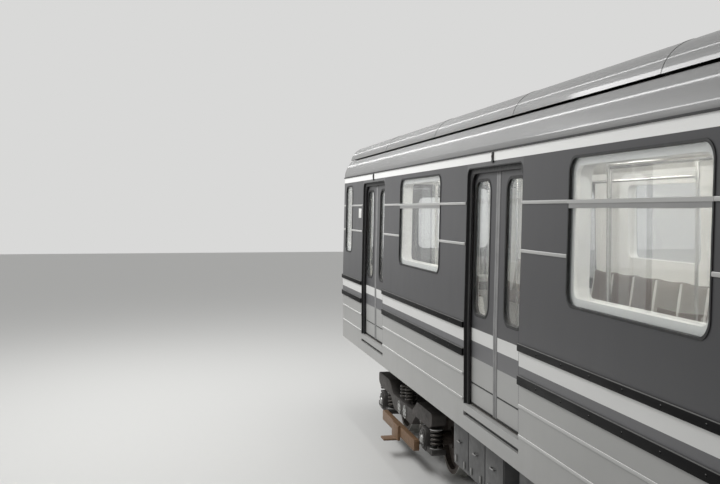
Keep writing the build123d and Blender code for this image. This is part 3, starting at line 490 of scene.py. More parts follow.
def in_place(name, bm, material, body, smooth=35.0):
    """Turn a bmesh into a piece that rides on a body and has a material slot."""
    mesh = bpy.data.meshes.new(name)
    bm.to_mesh(mesh)
    bm.free()
    mesh.materials.append(materials[material])
    imported = mesh.attributes.get("custom_normal")
    if imported:
        mesh.attributes.remove(imported)
    mesh.shade_smooth()
    mesh.set_sharp_from_angle(angle=math.radians(smooth))
    piece = linked(name, mesh)
    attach(piece, body)
    return piece


def stand_in(node_name, name, bm, material, smooth=35.0):
    """A piece that takes the place of a CAD node, on the node's body."""
    piece = in_place(name, bm, material, BODY_OF[node_name], smooth)
    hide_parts(node_name)
    return piece


def merged_copy(node_name):
    """A bmesh of a CAD node with its loose triangles joined."""
    bm = bmesh.new()
    bm.from_mesh(frame["nodes"][node_name].data)
    bmesh.ops.remove_doubles(bm, verts=bm.verts, dist=2e-5)
    return bm


def islands(bm):
    """The separate shells of a bmesh, as lists of faces."""
    left = set(bm.faces)
    found = []
    while left:
        stack = [left.pop()]
        shell = []
        while stack:
            face = stack.pop()
            shell.append(face)
            for edge in face.edges:
                for other in edge.link_faces:
                    if other in left:
                        left.discard(other)
                        stack.append(other)
        found.append(shell)
    return found


def cut_through(bm, point, normal, clear_outer=False):
    """Cut a bmesh by a plane, and perhaps drop what lies beyond it."""
    bmesh.ops.bisect_plane(bm, geom=bm.verts[:] + bm.edges[:] + bm.faces[:], plane_co=point,
                           plane_no=normal, clear_outer=clear_outer)


def verts_of(made):
    """The vertices among what an operator of bmesh made."""
    return [item for item in made["geom"] if isinstance(item, bmesh.types.BMVert)]


def rounded(bm, geom, width, segments=2, affect="EDGES"):
    """Round edges or corners."""
    bmesh.ops.bevel(bm, geom=geom, offset=width, offset_type="OFFSET", segments=segments, profile=0.5,
                    affect=affect, clamp_overlap=True, material=-1)


def soften(bm, width):
    """Round the sharp edges of a bmesh, once its flat faces are whole."""
    bmesh.ops.dissolve_limit(bm, angle_limit=math.radians(1.0), verts=bm.verts, edges=bm.edges)
    sharp = math.radians(30.0)
    folds = [edge for edge in bm.edges if len(edge.link_faces) == 2]
    rounded(bm, [edge for edge in folds if edge.calc_face_angle(0) > sharp], width)


def refine(node_name, material, bevel=0.0, smooth=35.0):
    """Replace a CAD node by its joined, smooth-shaded and perhaps edge-rounded copy."""
    bm = merged_copy(node_name)
    if bevel:
        soften(bm, bevel)
    return stand_in(node_name, f"{node_name}_finish", bm, material, smooth=smooth)


def keep_folds(piece):
    """Keep the level folds of pressed sheet crisp, as at the waist, where a side starts to lean."""
    bm = bmesh.new()
    bm.from_mesh(piece.data)
    for edge in bm.edges:
        if len(edge.link_faces) == 2:
            level = abs(edge.verts[0].co.z - edge.verts[1].co.z) < 1e-4
            upright = all(abs(face.normal.z) < 0.2 for face in edge.link_faces)
            if level and upright and edge.calc_face_angle(0) > math.radians(0.8):
                edge.smooth = False
    bm.to_mesh(piece.data)
    bm.free()
    return piece


def sort_shells(node_name, finishes, choose):
    """Replace a CAD node by one piece for each finish, its shells sorted by their size and place."""
    for finish, bevel in finishes.items():
        bm = merged_copy(node_name)
        drop = [face for shell in islands(bm) if choose(*extent(shell)) != finish for face in shell]
        bmesh.ops.delete(bm, geom=drop, context="FACES")
        if bevel:
            soften(bm, bevel)
        stand_in(node_name, f"{node_name}_{finish}", bm, finish)


def extent(shell):
    """The low and high corners of a shell."""
    places = [vert.co for face in shell for vert in face.verts]
    low = Vector(tuple(min(place[axis] for place in places) for axis in range(3)))
    high = Vector(tuple(max(place[axis] for place in places) for axis in range(3)))
    return low, high


def paint_faces(piece, finish, chosen):
    """Give the faces whose middle passes a test another finish."""
    piece.data.materials.append(materials[finish])
    index = len(piece.data.materials) - 1
    for polygon in piece.data.polygons:
        if chosen(polygon.center):
            polygon.material_index = index


def add_to(bm, made):
    """Join a finished bmesh into another."""
    held = bpy.data.meshes.new("part")
    made.to_mesh(held)
    made.free()
    bm.from_mesh(held)
    bpy.data.meshes.remove(held)


def lean_in(bm, side):
    """Lean the part of a shape above the waist in with the car's side."""
    waist_z = FLOOR_Z + WAIST
    slope = -SIDES[side] * LEAN / (EAVES - WAIST)
    shear = Matrix.Identity(4)
    shear[1][2] = slope
    shear[1][3] = -slope * waist_z
    high = [vert for vert in bm.verts if vert.co.z > waist_z]
    bmesh.ops.transform(bm, matrix=shear, verts=high)


def on_side(bm, side, xs, heights, insets, bevel=0.0):
    """A strip that follows the side's lean, between two insets from its surface."""
    made = bmesh.new()
    ys = [SIDES[side] * (HALF_WIDTH - inset) for inset in insets]
    zs = [FLOOR_Z + height for height in heights]
    block(made, *zip(xs, ys, zs), bevel)
    if min(heights) < WAIST < max(heights):
        cut_through(made, (0, 0, FLOOR_Z + WAIST), (0, 0, 1))
    lean_in(made, side)
    add_to(bm, made)


def block(bm, low, high, bevel=0.0):
    """A block between two corners, with rounded edges."""
    pairs = list(zip(low, high))
    low = Vector([min(pair) for pair in pairs])
    high = Vector([max(pair) for pair in pairs])
    size = high - low
    matrix = Matrix.Translation((low + high) / 2) @ Matrix.Diagonal((*size, 1.0))
    verts = bmesh.ops.create_cube(bm, size=1.0, matrix=matrix)["verts"]
    if bevel:
        edges = list({edge for vert in verts for edge in vert.link_edges})
        rounded(bm, edges, bevel)


def rod(bm, start, end, radius, segments=16, end_radius=None):
    """A round bar between two points."""
    start = Vector(start)
    end = Vector(end)
    along = end - start
    turn = along.to_track_quat("Z", "Y").to_matrix().to_4x4()
    matrix = Matrix.Translation((start + end) / 2) @ turn
    other = radius if end_radius is None else end_radius
    bmesh.ops.create_cone(bm, cap_ends=True, segments=segments, radius1=radius, radius2=other,
                          depth=along.length, matrix=matrix)


def bar(bm, start, reach, radius, segments=16, end_radius=None):
    """A round bar from a point, as far as its reach along each axis."""
    end = [a + b for a, b in zip(start, reach)]
    rod(bm, start, end, radius, segments, end_radius)


def bolt_circle(bm, centre, turn, bolts):
    """Hexagonal bolt heads in a circle on the side of a bogie; bolts is how many, the first one's
    angle, their circle's radius, and a head's radius and height."""
    count, first, circle, radius, height = bolts
    for index in range(count):
        angle = math.radians(360 / count * index + first)
        place = Vector((circle * math.cos(angle), 0, circle * math.sin(angle)))
        bar(bm, Vector(centre) + place, (0, turn * height, 0), radius, 6)


def bent_tube(bm, points, radius, segments=12):
    """A tube through points, as straight rods with ball joints at the bends."""
    for start, end in zip(points, points[1:]):
        rod(bm, start, end, radius, segments)
    for point in points[1:-1]:
        bmesh.ops.create_uvsphere(bm, u_segments=segments, v_segments=8, radius=radius,
                                  matrix=Matrix.Translation(point))


def rounded_ring(bm, place, width, height, radius, band, depth):
    """A flat ring with round corners, made lying on the floor and then put in place."""
    ring = bmesh.new()
    bmesh.ops.create_grid(ring, x_segments=1, y_segments=1, size=0.5)
    bmesh.ops.scale(ring, vec=(width, height, 1), verts=ring.verts)
    rounded(ring, ring.verts[:], radius, segments=10, affect="VERTICES")
    rim = bmesh.ops.inset_individual(ring, faces=ring.faces[:], thickness=band)["faces"]
    middle = [face for face in ring.faces if face not in set(rim)]
    bmesh.ops.delete(ring, geom=middle, context="FACES")
    raised = bmesh.ops.extrude_face_region(ring, geom=ring.faces[:])
    bmesh.ops.translate(ring, vec=(0, 0, depth), verts=verts_of(raised))
    bmesh.ops.recalc_face_normals(ring, faces=ring.faces)
    centred = place @ Matrix.Translation((0, 0, -depth / 2))
    bmesh.ops.transform(ring, matrix=centred, verts=ring.verts)
    add_to(bm, ring)


def side_y(side, height):
    """Where the side's surface stands at a height above the floor."""
    lean = 0.0 if height <= WAIST else LEAN * (height - WAIST) / (EAVES - WAIST)
    return SIDES[side] * (HALF_WIDTH - lean)


# The car's own pieces, finished


def finish_skin():
    """Skin, ends and sills in their bands of enamel, and the white band over the doors."""
    for name in ("side_wall_left", "side_wall_right", "door_sills"):
        keep_folds(refine(name, "side"))
    for name in ("end_wall_front", "end_wall_rear"):
        wall = keep_folds(refine(name, "side"))
        paint_faces(wall, "tube", is_grab_handle)
        paint_faces(wall, "chassis", is_foot_plate)
    keep_folds(refine("cantrail", "cantrail"))


def is_grab_handle(point):
    """The upright bars beside an end door."""
    proud = abs(point.x) > HALF_LENGTH - 0.002 and point.z > FLOOR_Z + WAIST + 0.002
    return proud and abs(abs(point.y) - HANDLE_Y) < 0.05


def is_foot_plate(point):
    """The plate that a foot rests on before an end door."""
    proud = abs(point.x) > HALF_LENGTH - 0.002 and point.z < FLOOR_Z - 0.02
    return proud and abs(point.y) < FOOT_PLATE_HALF


def make_gutter(height):
    """The rain gutter's lip between the white band and the roof, near black: painted shadow along the
    top of the white band.
    """
    bm = bmesh.new()
    length = 2 * (HALF_LENGTH - LEAN + GUTTER_PROUD)
    width = 2 * (HALF_WIDTH - LEAN + GUTTER_PROUD)
    place = Matrix.Translation((0, 0, FLOOR_Z + EAVES + height / 2))
    rounded_ring(bm, place, length, width, 0.38, 0.02, height)
    in_place("rain_gutter", bm, "gutter", BODY)


def make_strip_screws(pitch):
    """Pan heads that hold the rubbing strips between the doorways, painted over with them."""
    bm = bmesh.new()
    count = int(2 * (HALF_LENGTH - 0.5) / pitch)
    places = [(index - count / 2) * pitch for index in range(count + 1)]
    clear = SKIN_DOORWAY_HALF + 0.03
    places = [x for x in places if all(abs(x - door) > clear for door in DOORWAYS)]
    for side, sign in SIDES.items():
        for low, high in RUBBING_STRIPS:
            middle = (low + high) / 2
            for x in places:
                start = (x, side_y(side, middle) + sign * 0.014, FLOOR_Z + middle)
                bar(bm, start, (0, sign * 0.0045, 0), 0.009, 10, 0.006)
    in_place("strip_screws", bm, "rib", BODY)


def make_plates(width, height):
    """The blank plates on the end bays, each on two studs."""
    bm = bmesh.new()
    for side, sign in SIDES.items():
        x = sign * PLATE_X
        heights = (PLATE_LOW, PLATE_LOW + height)
        on_side(bm, side, (x - width / 2, x + width / 2), heights, (-0.004, 0.001), 0.0015)
        for step in (0.015 - width / 2, width / 2 - 0.015):
            stud = (x + step, side_y(side, PLATE_STUDS), FLOOR_Z + PLATE_STUDS)
            bar(bm, stud, (0, sign * 0.0065, 0), 0.005, 10)
    in_place("blank_plates", bm, "plate", BODY)


def make_doorway_shade_and_seals():
    """A black fill in each sill's slot, painted shade for its recess, and the round upper corners of
    each doorway's seal.
    """
    bm = bmesh.new()
    for side, sign in SIDES.items():
        for x in DOORWAYS:
            reach = SKIN_DOORWAY_HALF - 0.001
            # A black fill in the sill's slot: painted shade for its recess
            on_side(bm, side, (x - reach, x + reach), SLOT, (0.022, 0.030))
            for way in (-1, 1):
                corner = (x + way * (CLEAR_HALF + 0.002), sign * (HALF_WIDTH - 0.0245),
                          FLOOR_Z + SEAL_TOP + 0.002)
                add_to(bm, corner_fillet(side, Vector(corner), way))
    in_place("doorway_shade_and_seals", bm, "rubber", BODY)


def corner_fillet(side, corner, way):
    """What fills an upper corner of a doorway outside an arc, leaning with the side."""
    made = bmesh.new()
    centre = corner - Vector((way * SEAL_CORNER, 0, SEAL_CORNER))
    start = bmesh.ops.create_vert(made, co=centre + Vector((way * SEAL_CORNER, 0, 0)))["vert"]
    quarter = math.radians(-90 * way)
    bmesh.ops.spin(made, geom=start, cent=centre, axis=(0, 1, 0), angle=quarter, steps=10)
    fan = bmesh.ops.extrude_edge_only(made, edges=made.edges[:])
    bmesh.ops.pointmerge(made, verts=verts_of(fan), merge_co=corner)
    raised = bmesh.ops.extrude_face_region(made, geom=made.faces[:])
    bmesh.ops.translate(made, vec=(0, -SIDES[side] * 0.012, 0), verts=verts_of(raised))
    bmesh.ops.recalc_face_normals(made, faces=made.faces)
    lean_in(made, side)
    return made


def make_lamp_lenses():
    """The smoked lens in each lamp housing over a doorway."""
    bm = bmesh.new()
    for side, sign in SIDES.items():
        for x in DOORWAYS:
            y = side_y(side, LAMP_HEIGHT)
            centre = Matrix.Translation((x, y + sign * 0.011, FLOOR_Z + LAMP_HEIGHT))
            flat = centre @ Matrix.Diagonal((0.010, 0.005, 0.016, 1.0))
            bmesh.ops.create_uvsphere(bm, u_segments=16, v_segments=10, radius=1.0, matrix=flat)
    in_place("lamp_lenses", bm, "lens", BODY)


def finish_roof(strap_width):
    """Roof and shroud, and thin straps over the joints of the shroud's sheets, cut from the shroud."""
    refine("roof", "roof", smooth=25)
    refine("roof_shroud", "roof", smooth=25)
    straps = bmesh.new()
    for index in range(-3, 4):
        bm = merged_copy("roof_shroud")
        for way in (-1, 1):
            edge_x = index * SHEET_PITCH + way * strap_width / 2
            cut_through(bm, (edge_x, 0, 0), (way, 0, 0), clear_outer=True)
        inner = [face for face in bm.faces if not faces_out(face)]
        bmesh.ops.delete(bm, geom=inner, context="FACES")
        bmesh.ops.solidify(bm, geom=bm.faces[:], thickness=-0.002)
        bmesh.ops.recalc_face_normals(bm, faces=bm.faces)
        add_to(straps, bm)
    in_place("shroud_straps", straps, "roof", BODY, smooth=25)


def faces_out(face):
    """Whether a face of the roof looks away from the saloon and not along the car."""
    centre = face.calc_center_median()
    away = Vector((0, centre.y, centre.z - FLOOR_Z - 1.2)).normalized()
    return face.normal.dot(away) > 0.35


def finish_glazing():
    """Panes, and rubber frames whose transom bars are painted."""
    refine("window_glass", "glass")
    bm = merged_copy("window_frames")
    cuts = [((0, 0, FLOOR_Z + height), (0, 0, 1)) for height in TRANSOM]
    for x in MAIN_WINDOWS:
        for way in (-1, 1):
            cuts.append(((x + way * (WINDOW_HALF - GASKET), 0, 0), (1, 0, 0)))
    for point, normal in cuts:
        cut_through(bm, point, normal)
    frames = stand_in("window_frames", "window_frames_finish", bm, "rubber")
    paint_faces(frames, "transom", is_transom)
    paint_faces(frames, "moulding", is_bead)


def is_transom(point):
    """The bar across a main window."""
    low, high = (FLOOR_Z + height for height in TRANSOM)
    inside = any(abs(point.x - x) < WINDOW_HALF - GASKET for x in MAIN_WINDOWS)
    return low - 0.001 < point.z < high + 0.001 and inside and abs(point.y) > 1.0


def is_bead(point):
    """The pale bead on the transom, in line with the upper moulding."""
    inside = any(abs(point.x - x) < WINDOW_HALF for x in MAIN_WINDOWS)
    height = point.z - FLOOR_Z
    outside = abs(point.y) > HALF_WIDTH - LEAN * (height - WAIST) / (EAVES - WAIST) + 0.001
    return MOULDING[0] < height < MOULDING[1] and inside and outside


def finish_leaves():
    """Each side door leaf: enamelled frame, pane, gaskets and the grey edge that meets its twin."""
    for name in frame["nodes"]:
        if name.startswith(("door_right", "door_left")):
            split_door(name, "leaf")
            make_leaf_trim(name)


def finish_end_doors():
    """The end doors, with their panes, gaskets, levers and kick plates."""
    for name in ("end_door_front", "end_door_rear"):
        split_door(name, "side")
        make_end_door_trim(name)


def split_door(name, material):
    """Replace a door by a frame piece and a glass piece."""
    for part, wanted in (("frame", False), ("pane", True)):
        bm = merged_copy(name)
        axis = 0 if name.startswith("end_door") else 1
        drop = []
        for shell in islands(bm):
            low, high = extent(shell)
            thin = high[axis] - low[axis] < PANE_LIMIT
            drop += shell if thin != wanted else []
        bmesh.ops.delete(bm, geom=drop, context="FACES")
        finish = "glass" if wanted else material
        keep_folds(stand_in(name, f"{name}_{part}", bm, finish))


def make_leaf_trim(name):
    """Gaskets of a leaf's pane, its meeting rubber, its foot's seal, and a black strip in its groove
    that is painted shade.
    """
    side = name.split("_")[1]
    doorway = DOORWAYS[int(name.split("_")[2]) - 1]
    way = 1 if name.endswith("front") else -1
    body = BODY_OF[name]

    bm = bmesh.new()
    low, high = LEAF_WINDOW
    tall = high - low + 0.012
    upright = Matrix.Rotation(math.radians(90), 4, "X")
    for outer, inner in ((LEAF_OUT - 0.003, LEAF_OUT + 0.012), (LEAF_OUT + 0.018, LEAF_OUT + 0.038)):
        ring = bmesh.new()
        y = SIDES[side] * (HALF_WIDTH - (outer + inner) / 2)
        middle = (doorway + way * LEAF_WINDOW_X, y, FLOOR_Z + (low + high) / 2)
        place = Matrix.Translation(middle) @ upright
        rounded_ring(ring, place, LEAF_WINDOW_WIDTH + 0.012, tall, 0.116, 0.022, inner - outer)
        lean_in(ring, side)
        add_to(bm, ring)
    in_place(f"{name}_gasket", bm, "rubber", body)

    near = doorway + way * 0.0016
    joint = doorway + way * MEETING_WIDTH
    far = doorway + way * LEAF_WIDTH
    for finish, part, strips in (
        ("grey_rubber", "edge", [
            ((near, joint), (LEAF_LOW + 0.004, LEAF_HIGH), (-0.003, 0.004), 0.0025),
            ((near, joint), (LEAF_LOW + 0.004, LEAF_HIGH), (0.031, 0.038), 0.0025),
        ]),
        ("rubber", "foot", [
            ((near, far), (LEAF_LOW + 0.001, LEAF_LOW + 0.014), (-0.002, 0.006), 0.001),
            # A black strip set in the groove: painted shade for its recess
            ((joint, far), GROOVE, (0.0015, 0.006), 0.0),
        ]),
    ):
        bm = bmesh.new()
        for xs, heights, (outer, inner), bevel in strips:
            on_side(bm, side, xs, heights, (LEAF_OUT + outer, LEAF_OUT + inner), bevel)
        in_place(f"{name}_{part}", bm, finish, body)


def make_end_door_trim(name):
    """Gaskets, lever handles and a kick plate on an end door."""
    low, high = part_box(name)
    way = 1 if name.endswith("front") else -1
    body = BODY_OF[name]
    front, back = (high.x, low.x) if way > 0 else (low.x, high.x)
    turn = Matrix.Rotation(math.radians(90), 4, "Y") @ Matrix.Rotation(math.radians(90), 4, "Z")
    window_z = FLOOR_Z + (END_WINDOW[0] + END_WINDOW[1]) / 2
    window_height = END_WINDOW[1] - END_WINDOW[0] + 0.012
    gaskets = bmesh.new()
    fittings = bmesh.new()
    for face, out in ((front, way), (back, -way)):
        place = Matrix.Translation((face - out * 0.005, 0, window_z)) @ turn
        rounded_ring(gaskets, place, 0.42, window_height, 0.106, 0.022, 0.016)
        spindle = (face, -way * 0.262, FLOOR_Z + LEVER_HEIGHT)
        bar(fittings, spindle, (out * 0.006, 0, 0), 0.028, 24)
        bar(fittings, spindle, (out * 0.022, 0, 0), 0.010)
        bar(fittings, (face + out * 0.02, *spindle[1:]), (0, way * 0.09, -0.004), 0.008)
        kick_low = (face, -0.27, FLOOR_Z + 0.02)
        block(fittings, kick_low, (face + out * 0.002, 0.27, FLOOR_Z + 0.2), 0.0005)
    in_place(f"{name}_gasket", gaskets, "rubber", body)
    in_place(f"{name}_lever", fittings, "tube", body)


def finish_inside():
    """Linings, ceiling, lights, floor, seat plinths, handrails and poles."""
    finishes = {
        "side_lining_left": "reveal",
        "side_lining_right": "reveal",
        "ceiling": "ceiling",
        "ceiling_lights": "light",
        "floor_panel": "floor",
        "seat_plinths": "lining",
        "handrails": "tube",
        "poles": "tube",
    }
    for name, finish in finishes.items():
        refine(name, finish)


def bench_bays():
    """Start and stop along the car of each bench."""
    found = []
    bm = merged_copy("seat_plinths")
    for shell in islands(bm):
        low, high = extent(shell)
        if low.y > 0:
            found.append((low.x - 0.02, high.x + 0.02))
    bm.free()
    return sorted(found)


def make_benches(seat_pitch):
    """The benches: a shaped shell, and a stuffed squab and back for each place."""
    shell = merged_copy("seats")
    low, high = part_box("seats")
    for vert in shell.verts:
        sign = 1 if vert.co.y > 0 else -1
        vert.co.y = sign * (high.y - (high.y - abs(vert.co.y)) * 0.86)
        vert.co.z = low.z + (vert.co.z - low.z) * 0.95
    stand_in("seats", "bench_shells", shell, "lining")

    bm = bmesh.new()
    seams = bmesh.new()
    back_y = high.y
    squab_top = FLOOR_Z + 0.428
    back_place = Matrix.Translation((0, back_y - 0.108, squab_top - 0.03))
    back_place = back_place @ Matrix.Rotation(math.radians(-8.8), 4, "X")
    for start, stop in bench_bays():
        count = max(1, round((stop - start) / seat_pitch))
        pitch = (stop - start) / count
        for index in range(count):
            x0 = start + index * pitch + 0.004
            x1 = start + (index + 1) * pitch - 0.004
            for sign in (-1, 1):
                squab_low = (x0, back_y - 0.452, squab_top - 0.115)
                squab = cushion(squab_low, (x1, back_y - 0.13, squab_top), 0.22)
                back = cushion((x0, -0.045, 0.0), (x1, 0.045, 0.47), 0.4)
                bmesh.ops.transform(back, matrix=back_place, verts=back.verts)
                for made in (squab, back):
                    if sign < 0:
                        bmesh.ops.scale(made, vec=(1, -1, 1), verts=made.verts)
                        bmesh.ops.reverse_faces(made, faces=made.faces)
                    add_to(bm, made)
                seam = (x0 + 0.02, sign * (back_y - 0.448), squab_top - 0.028)
                rod(seams, seam, (x1 - 0.02, *seam[1:]), 0.0035, 8)
    stand_in("seats", "bench_cushions", bm, "seat", smooth=60)
    in_place("bench_piping", seams, "piping", BODY)


def cushion(low, high, crown):
    """A stuffed cushion: rounded edges, a crowned face and back, and sides that pull in."""
    made = bmesh.new()
    block(made, low, high)
    bmesh.ops.subdivide_edges(made, edges=made.edges[:], cuts=8, use_grid_fill=True)
    middle = (Vector(low) + Vector(high)) / 2
    half = (Vector(high) - Vector(low)) / 2
    thin = min(range(3), key=lambda axis: half[axis])
    wide = [axis for axis in range(3) if axis != thin]
    for vert in made.verts:
        place = [(vert.co[axis] - middle[axis]) / half[axis] for axis in range(3)]
        falls = [1 - abs(place[axis]) ** 4 for axis in wide]
        bulge = half[thin] * (1 - crown) + half[thin] * crown * math.sqrt(max(0.0, falls[0] * falls[1]))
        depth = place[thin] * bulge
        for axis, other in (wide, wide[::-1]):
            pull = 0.012 * (1 - place[other] ** 2) * abs(place[axis]) ** 3
            rounding = 0.016 * abs(place[thin]) ** 4 * abs(place[axis]) ** 6
            vert.co[axis] = middle[axis] + place[axis] * (half[axis] - pull - rounding)
        vert.co[thin] = middle[thin] + depth
    return made


def make_rail_sockets():
    """Flanged sockets where poles meet the floor and ceiling, and tees on the handrails."""
    bm = bmesh.new()
    poles = merged_copy("poles")
    for shell in islands(poles):
        low, high = extent(shell)
        x = (low.x + high.x) / 2
        y = (low.y + high.y) / 2
        bar(bm, (x, y, low.z), (0, 0, 0.012), 0.040, 24, 0.034)
        bar(bm, (x, y, high.z - 0.014), (0, 0, 0.012), 0.032, 24, 0.038)
        bar(bm, (x, y, FLOOR_Z + 1.815), (0, 0, 0.070), 0.0225, 20)
    poles.free()
    in_place("rail_sockets", bm, "tube", BODY)


def finish_underframe():
    """Underframe, cross members, cases and reservoirs."""
    refine("underframe", "chassis", bevel=0.006)
    refine("cross_members", "chassis", bevel=0.004)
    # Reservoirs lie on the middle line; the rest are cases
    sort_shells("underfloor_equipment", {"case": 0.005, "tank": 0.0},
                lambda low, high: "tank" if abs(low.y + high.y) < 0.1 else "case")


def finish_bogies():
    """Bogies with their springs, motors, brakes and collector gear, and the wheels."""
    for end in ENDS:
        refine(f"bogie_frame_{end}", "bogie", bevel=0.006)
        refine(f"axleboxes_{end}", "cast", bevel=0.005)
        refine(f"springs_{end}", "spring")
        refine(f"traction_motors_{end}", "cast", bevel=0.005)
        refine(f"brake_units_{end}", "cast", bevel=0.004)
        refine(f"collector_gear_{end}", "beam", bevel=0.004)
    for number in (1, 2, 3, 4):
        refine(f"wheelset_{number}", "wheel")


def make_case_fittings():
    """Hinges, catches and a handle on each lid of the cases under the floor."""
    bm = bmesh.new()
    for x, length, drop in CASES:
        count = max(1, round(length / LID_WIDTH))
        pitch = length / count
        for sign in (-1, 1):
            face = sign * CASE_FACE
            for index in range(count):
                lid_x = x - length / 2 + (index + 0.5) * pitch
                for step in (-HINGE_STEP, HINGE_STEP):
                    hinge = (lid_x + step - 0.03, face + sign * 0.004, CASE_TOP - 0.072)
                    bar(bm, hinge, (0.06, 0, 0), 0.008, 12)
                    catch_z = CASE_TOP - drop + 0.105
                    block(bm, (lid_x + step - 0.014, face, catch_z - 0.03),
                          (lid_x + step + 0.014, face + sign * 0.012, catch_z + 0.03), 0.004)
                handle_z = CASE_TOP - drop / 2
                bar(bm, (lid_x - 0.045, face + sign * 0.02, handle_z), (0.09, 0, 0), 0.006, 12)
                for step in (-0.045, 0.045):
                    bar(bm, (lid_x + step, face, handle_z), (0, sign * 0.022, 0), 0.006, 12)
    in_place("case_fittings", bm, "zinc", BODY)


def make_pipes():
    """Air pipes along the underframe with their saddles, and the reservoirs' bands and drain cocks."""
    bm = bmesh.new()
    for y in PIPE_PLACES:
        rod(bm, (-PIPE_REACH, y, PIPE_Z), (PIPE_REACH, y, PIPE_Z), 0.017)
        for index in range(-4, 5):
            x = index * BEARER_PITCH
            block(bm, (x - 0.02, y - 0.03, PIPE_Z - 0.021), (x + 0.02, y + 0.03, PIPE_Z + 0.019), 0.004)
    for x in (-2 * BEARER_PITCH, 0, 2 * BEARER_PITCH):
        for step in (-0.45, 0.45):
            bar(bm, (x + step - 0.02, 0, TANK_Z), (0.04, 0, 0), TANK_RADIUS + 0.003, 48)
        bar(bm, (x - 0.3, 0, TANK_Z - TANK_RADIUS + 0.002), (0, 0, -0.032), 0.012, 12)
    in_place("air_pipes", bm, "zinc", BODY)


def make_bogie_fittings():
    """Axlebox covers and side bosses with their bolts, spring seats and brake pipes on each bogie."""
    for end, sign in ENDS.items():
        bm = bmesh.new()
        for step in (-1, 1):
            x = sign * BOGIE_X + step * HALF_BASE
            for side in (-1, 1):
                cover = (x, side * (JOURNAL_Y + 0.105), AXLE_Z)
                bolt_circle(bm, cover, side, (8, 22.5, 0.08, 0.010, 0.008))
                bar(bm, cover, (0, side * 0.012, 0), 0.045, 32, 0.040)
                for spring_x in (-SPRING_STEP, SPRING_STEP):
                    for seat_z in (AXLE_Z - 0.055, BEAM_LOW - 0.01):
                        seat = (x + spring_x, side * JOURNAL_Y, seat_z)
                        bar(bm, seat, (0, 0, 0.01), 0.072, 32)
        for side in (-1, 1):
            for step in (-BOSS_STEP, BOSS_STEP):
                boss = Vector((sign * BOGIE_X + step, side * (JOURNAL_Y + 0.075), BEAM_LOW - 0.05))
                bar(bm, boss, (0, side * 0.008, 0), 0.075, 32)
                bolt_circle(bm, boss + Vector((0, side * 0.008, 0)), side, (6, 0, 0.055, 0.009, 0.008))
        in_place(f"bogie_bolts_{end}", bm, "screw", f"bogie_{end}")

        bm = bmesh.new()
        for side in (-1, 1):
            y = side * (JOURNAL_Y - 0.085)
            x = sign * BOGIE_X
            top = BEAM_LOW + 0.17
            bends = ((-1.25, 0.03), (-0.72, 0.03), (-0.5, 0.16),
                     (0.5, 0.16), (0.72, 0.03), (1.25, 0.03))
            bent_tube(bm, [(x + step, y, top - drop) for step, drop in bends], 0.009)
        in_place(f"brake_pipes_{end}", bm, "zinc", f"bogie_{end}")


def finish_couplers():
    """Couplers, with the bolts round each head, its release lever and its contact box's hinge."""
    for end, sign in ENDS.items():
        refine(f"coupler_{end}", "cast", bevel=0.005)
        bm = bmesh.new()
        face = sign * COUPLER_FACE
        for step in (0.06, 0.12, 0.18):
            for side in (-1, 1):
                for rise in (-0.08, 0.08):
                    spot = (face - sign * step, side * 0.150, COUPLER_Z + rise)
                    bar(bm, spot, (0, side * 0.009, 0), 0.011, 6)
        bends = ((0.2, 0.151, 0.02), (0.2, 0.21, 0.02), (0.34, 0.21, 0.05))
        lever = [(face - sign * back, -sign * out, COUPLER_Z + rise) for back, out, rise in bends]
        bent_tube(bm, lever, 0.011, 14)
        bar(bm, (face - sign * 0.03, -0.1, COUPLER_Z - 0.134), (0, 0.2, 0), 0.009, 14)
        in_place(f"coupler_bolts_{end}", bm, "screw", f"coupler_{end}")


# Studio

CAMERA_PLACE = (4.80, -3.592, 2.803)
CAMERA_YAW = 10.24
CAMERA_PITCH = -1.89
CAMERA_LENS = 50.03
FLOOR_SIZE = 60.0


def make_floor(grey):
    """The studio floor, pale to the camera."""
    bm = bmesh.new()
    bmesh.ops.create_grid(bm, x_segments=1, y_segments=1, size=FLOOR_SIZE)
    mesh = bpy.data.meshes.new("studio_floor")
    bm.to_mesh(mesh)
    bm.free()
    material, shader, _ = start_material("pale studio floor")
    set_shader(shader, Base_Color=grey, Roughness=0.7)
    mesh.materials.append(material)
    linked("studio_floor", mesh)


def make_lamp(name, place, target, size, power):
    """A rectangular lamp aimed at a point, which the camera doesn't see."""
    lamp = bpy.data.lights.new(name, "AREA")
    lamp.shape = "RECTANGLE"
    lamp.size, lamp.size_y = size
    lamp.energy = power
    thing = linked(name, lamp)
    thing.location = place
    aim = Vector(target) - Vector(place)
    thing.rotation_euler = aim.to_track_quat("-Z", "Y").to_euler()
    thing.visible_camera = False


def make_world(strength):
    """An even pale world."""
    world = bpy.data.worlds.new("studio")
    bpy.context.scene.world = world
    world.use_nodes = True
    tree = world.node_tree
    tree.nodes.clear()
    light = node(tree, "ShaderNodeBackground", {"Color": linear("#ffffff"), "Strength": strength})
    seen = node(tree, "ShaderNodeBackground", {"Color": linear("#d9d9d8"), "Strength": 1.0})
    path = node(tree, "ShaderNodeLightPath").outputs
    rays = path["Is Camera Ray"]
    for kind in ("Is Glossy Ray", "Is Transmission Ray"):
        rays = combined("MAXIMUM", rays, path[kind])
    mix = node(tree, "ShaderNodeMixShader", {0: rays, 1: light.outputs[0], 2: seen.outputs[0]})
    node(tree, "ShaderNodeOutputWorld", {"Surface": mix.outputs[0]})


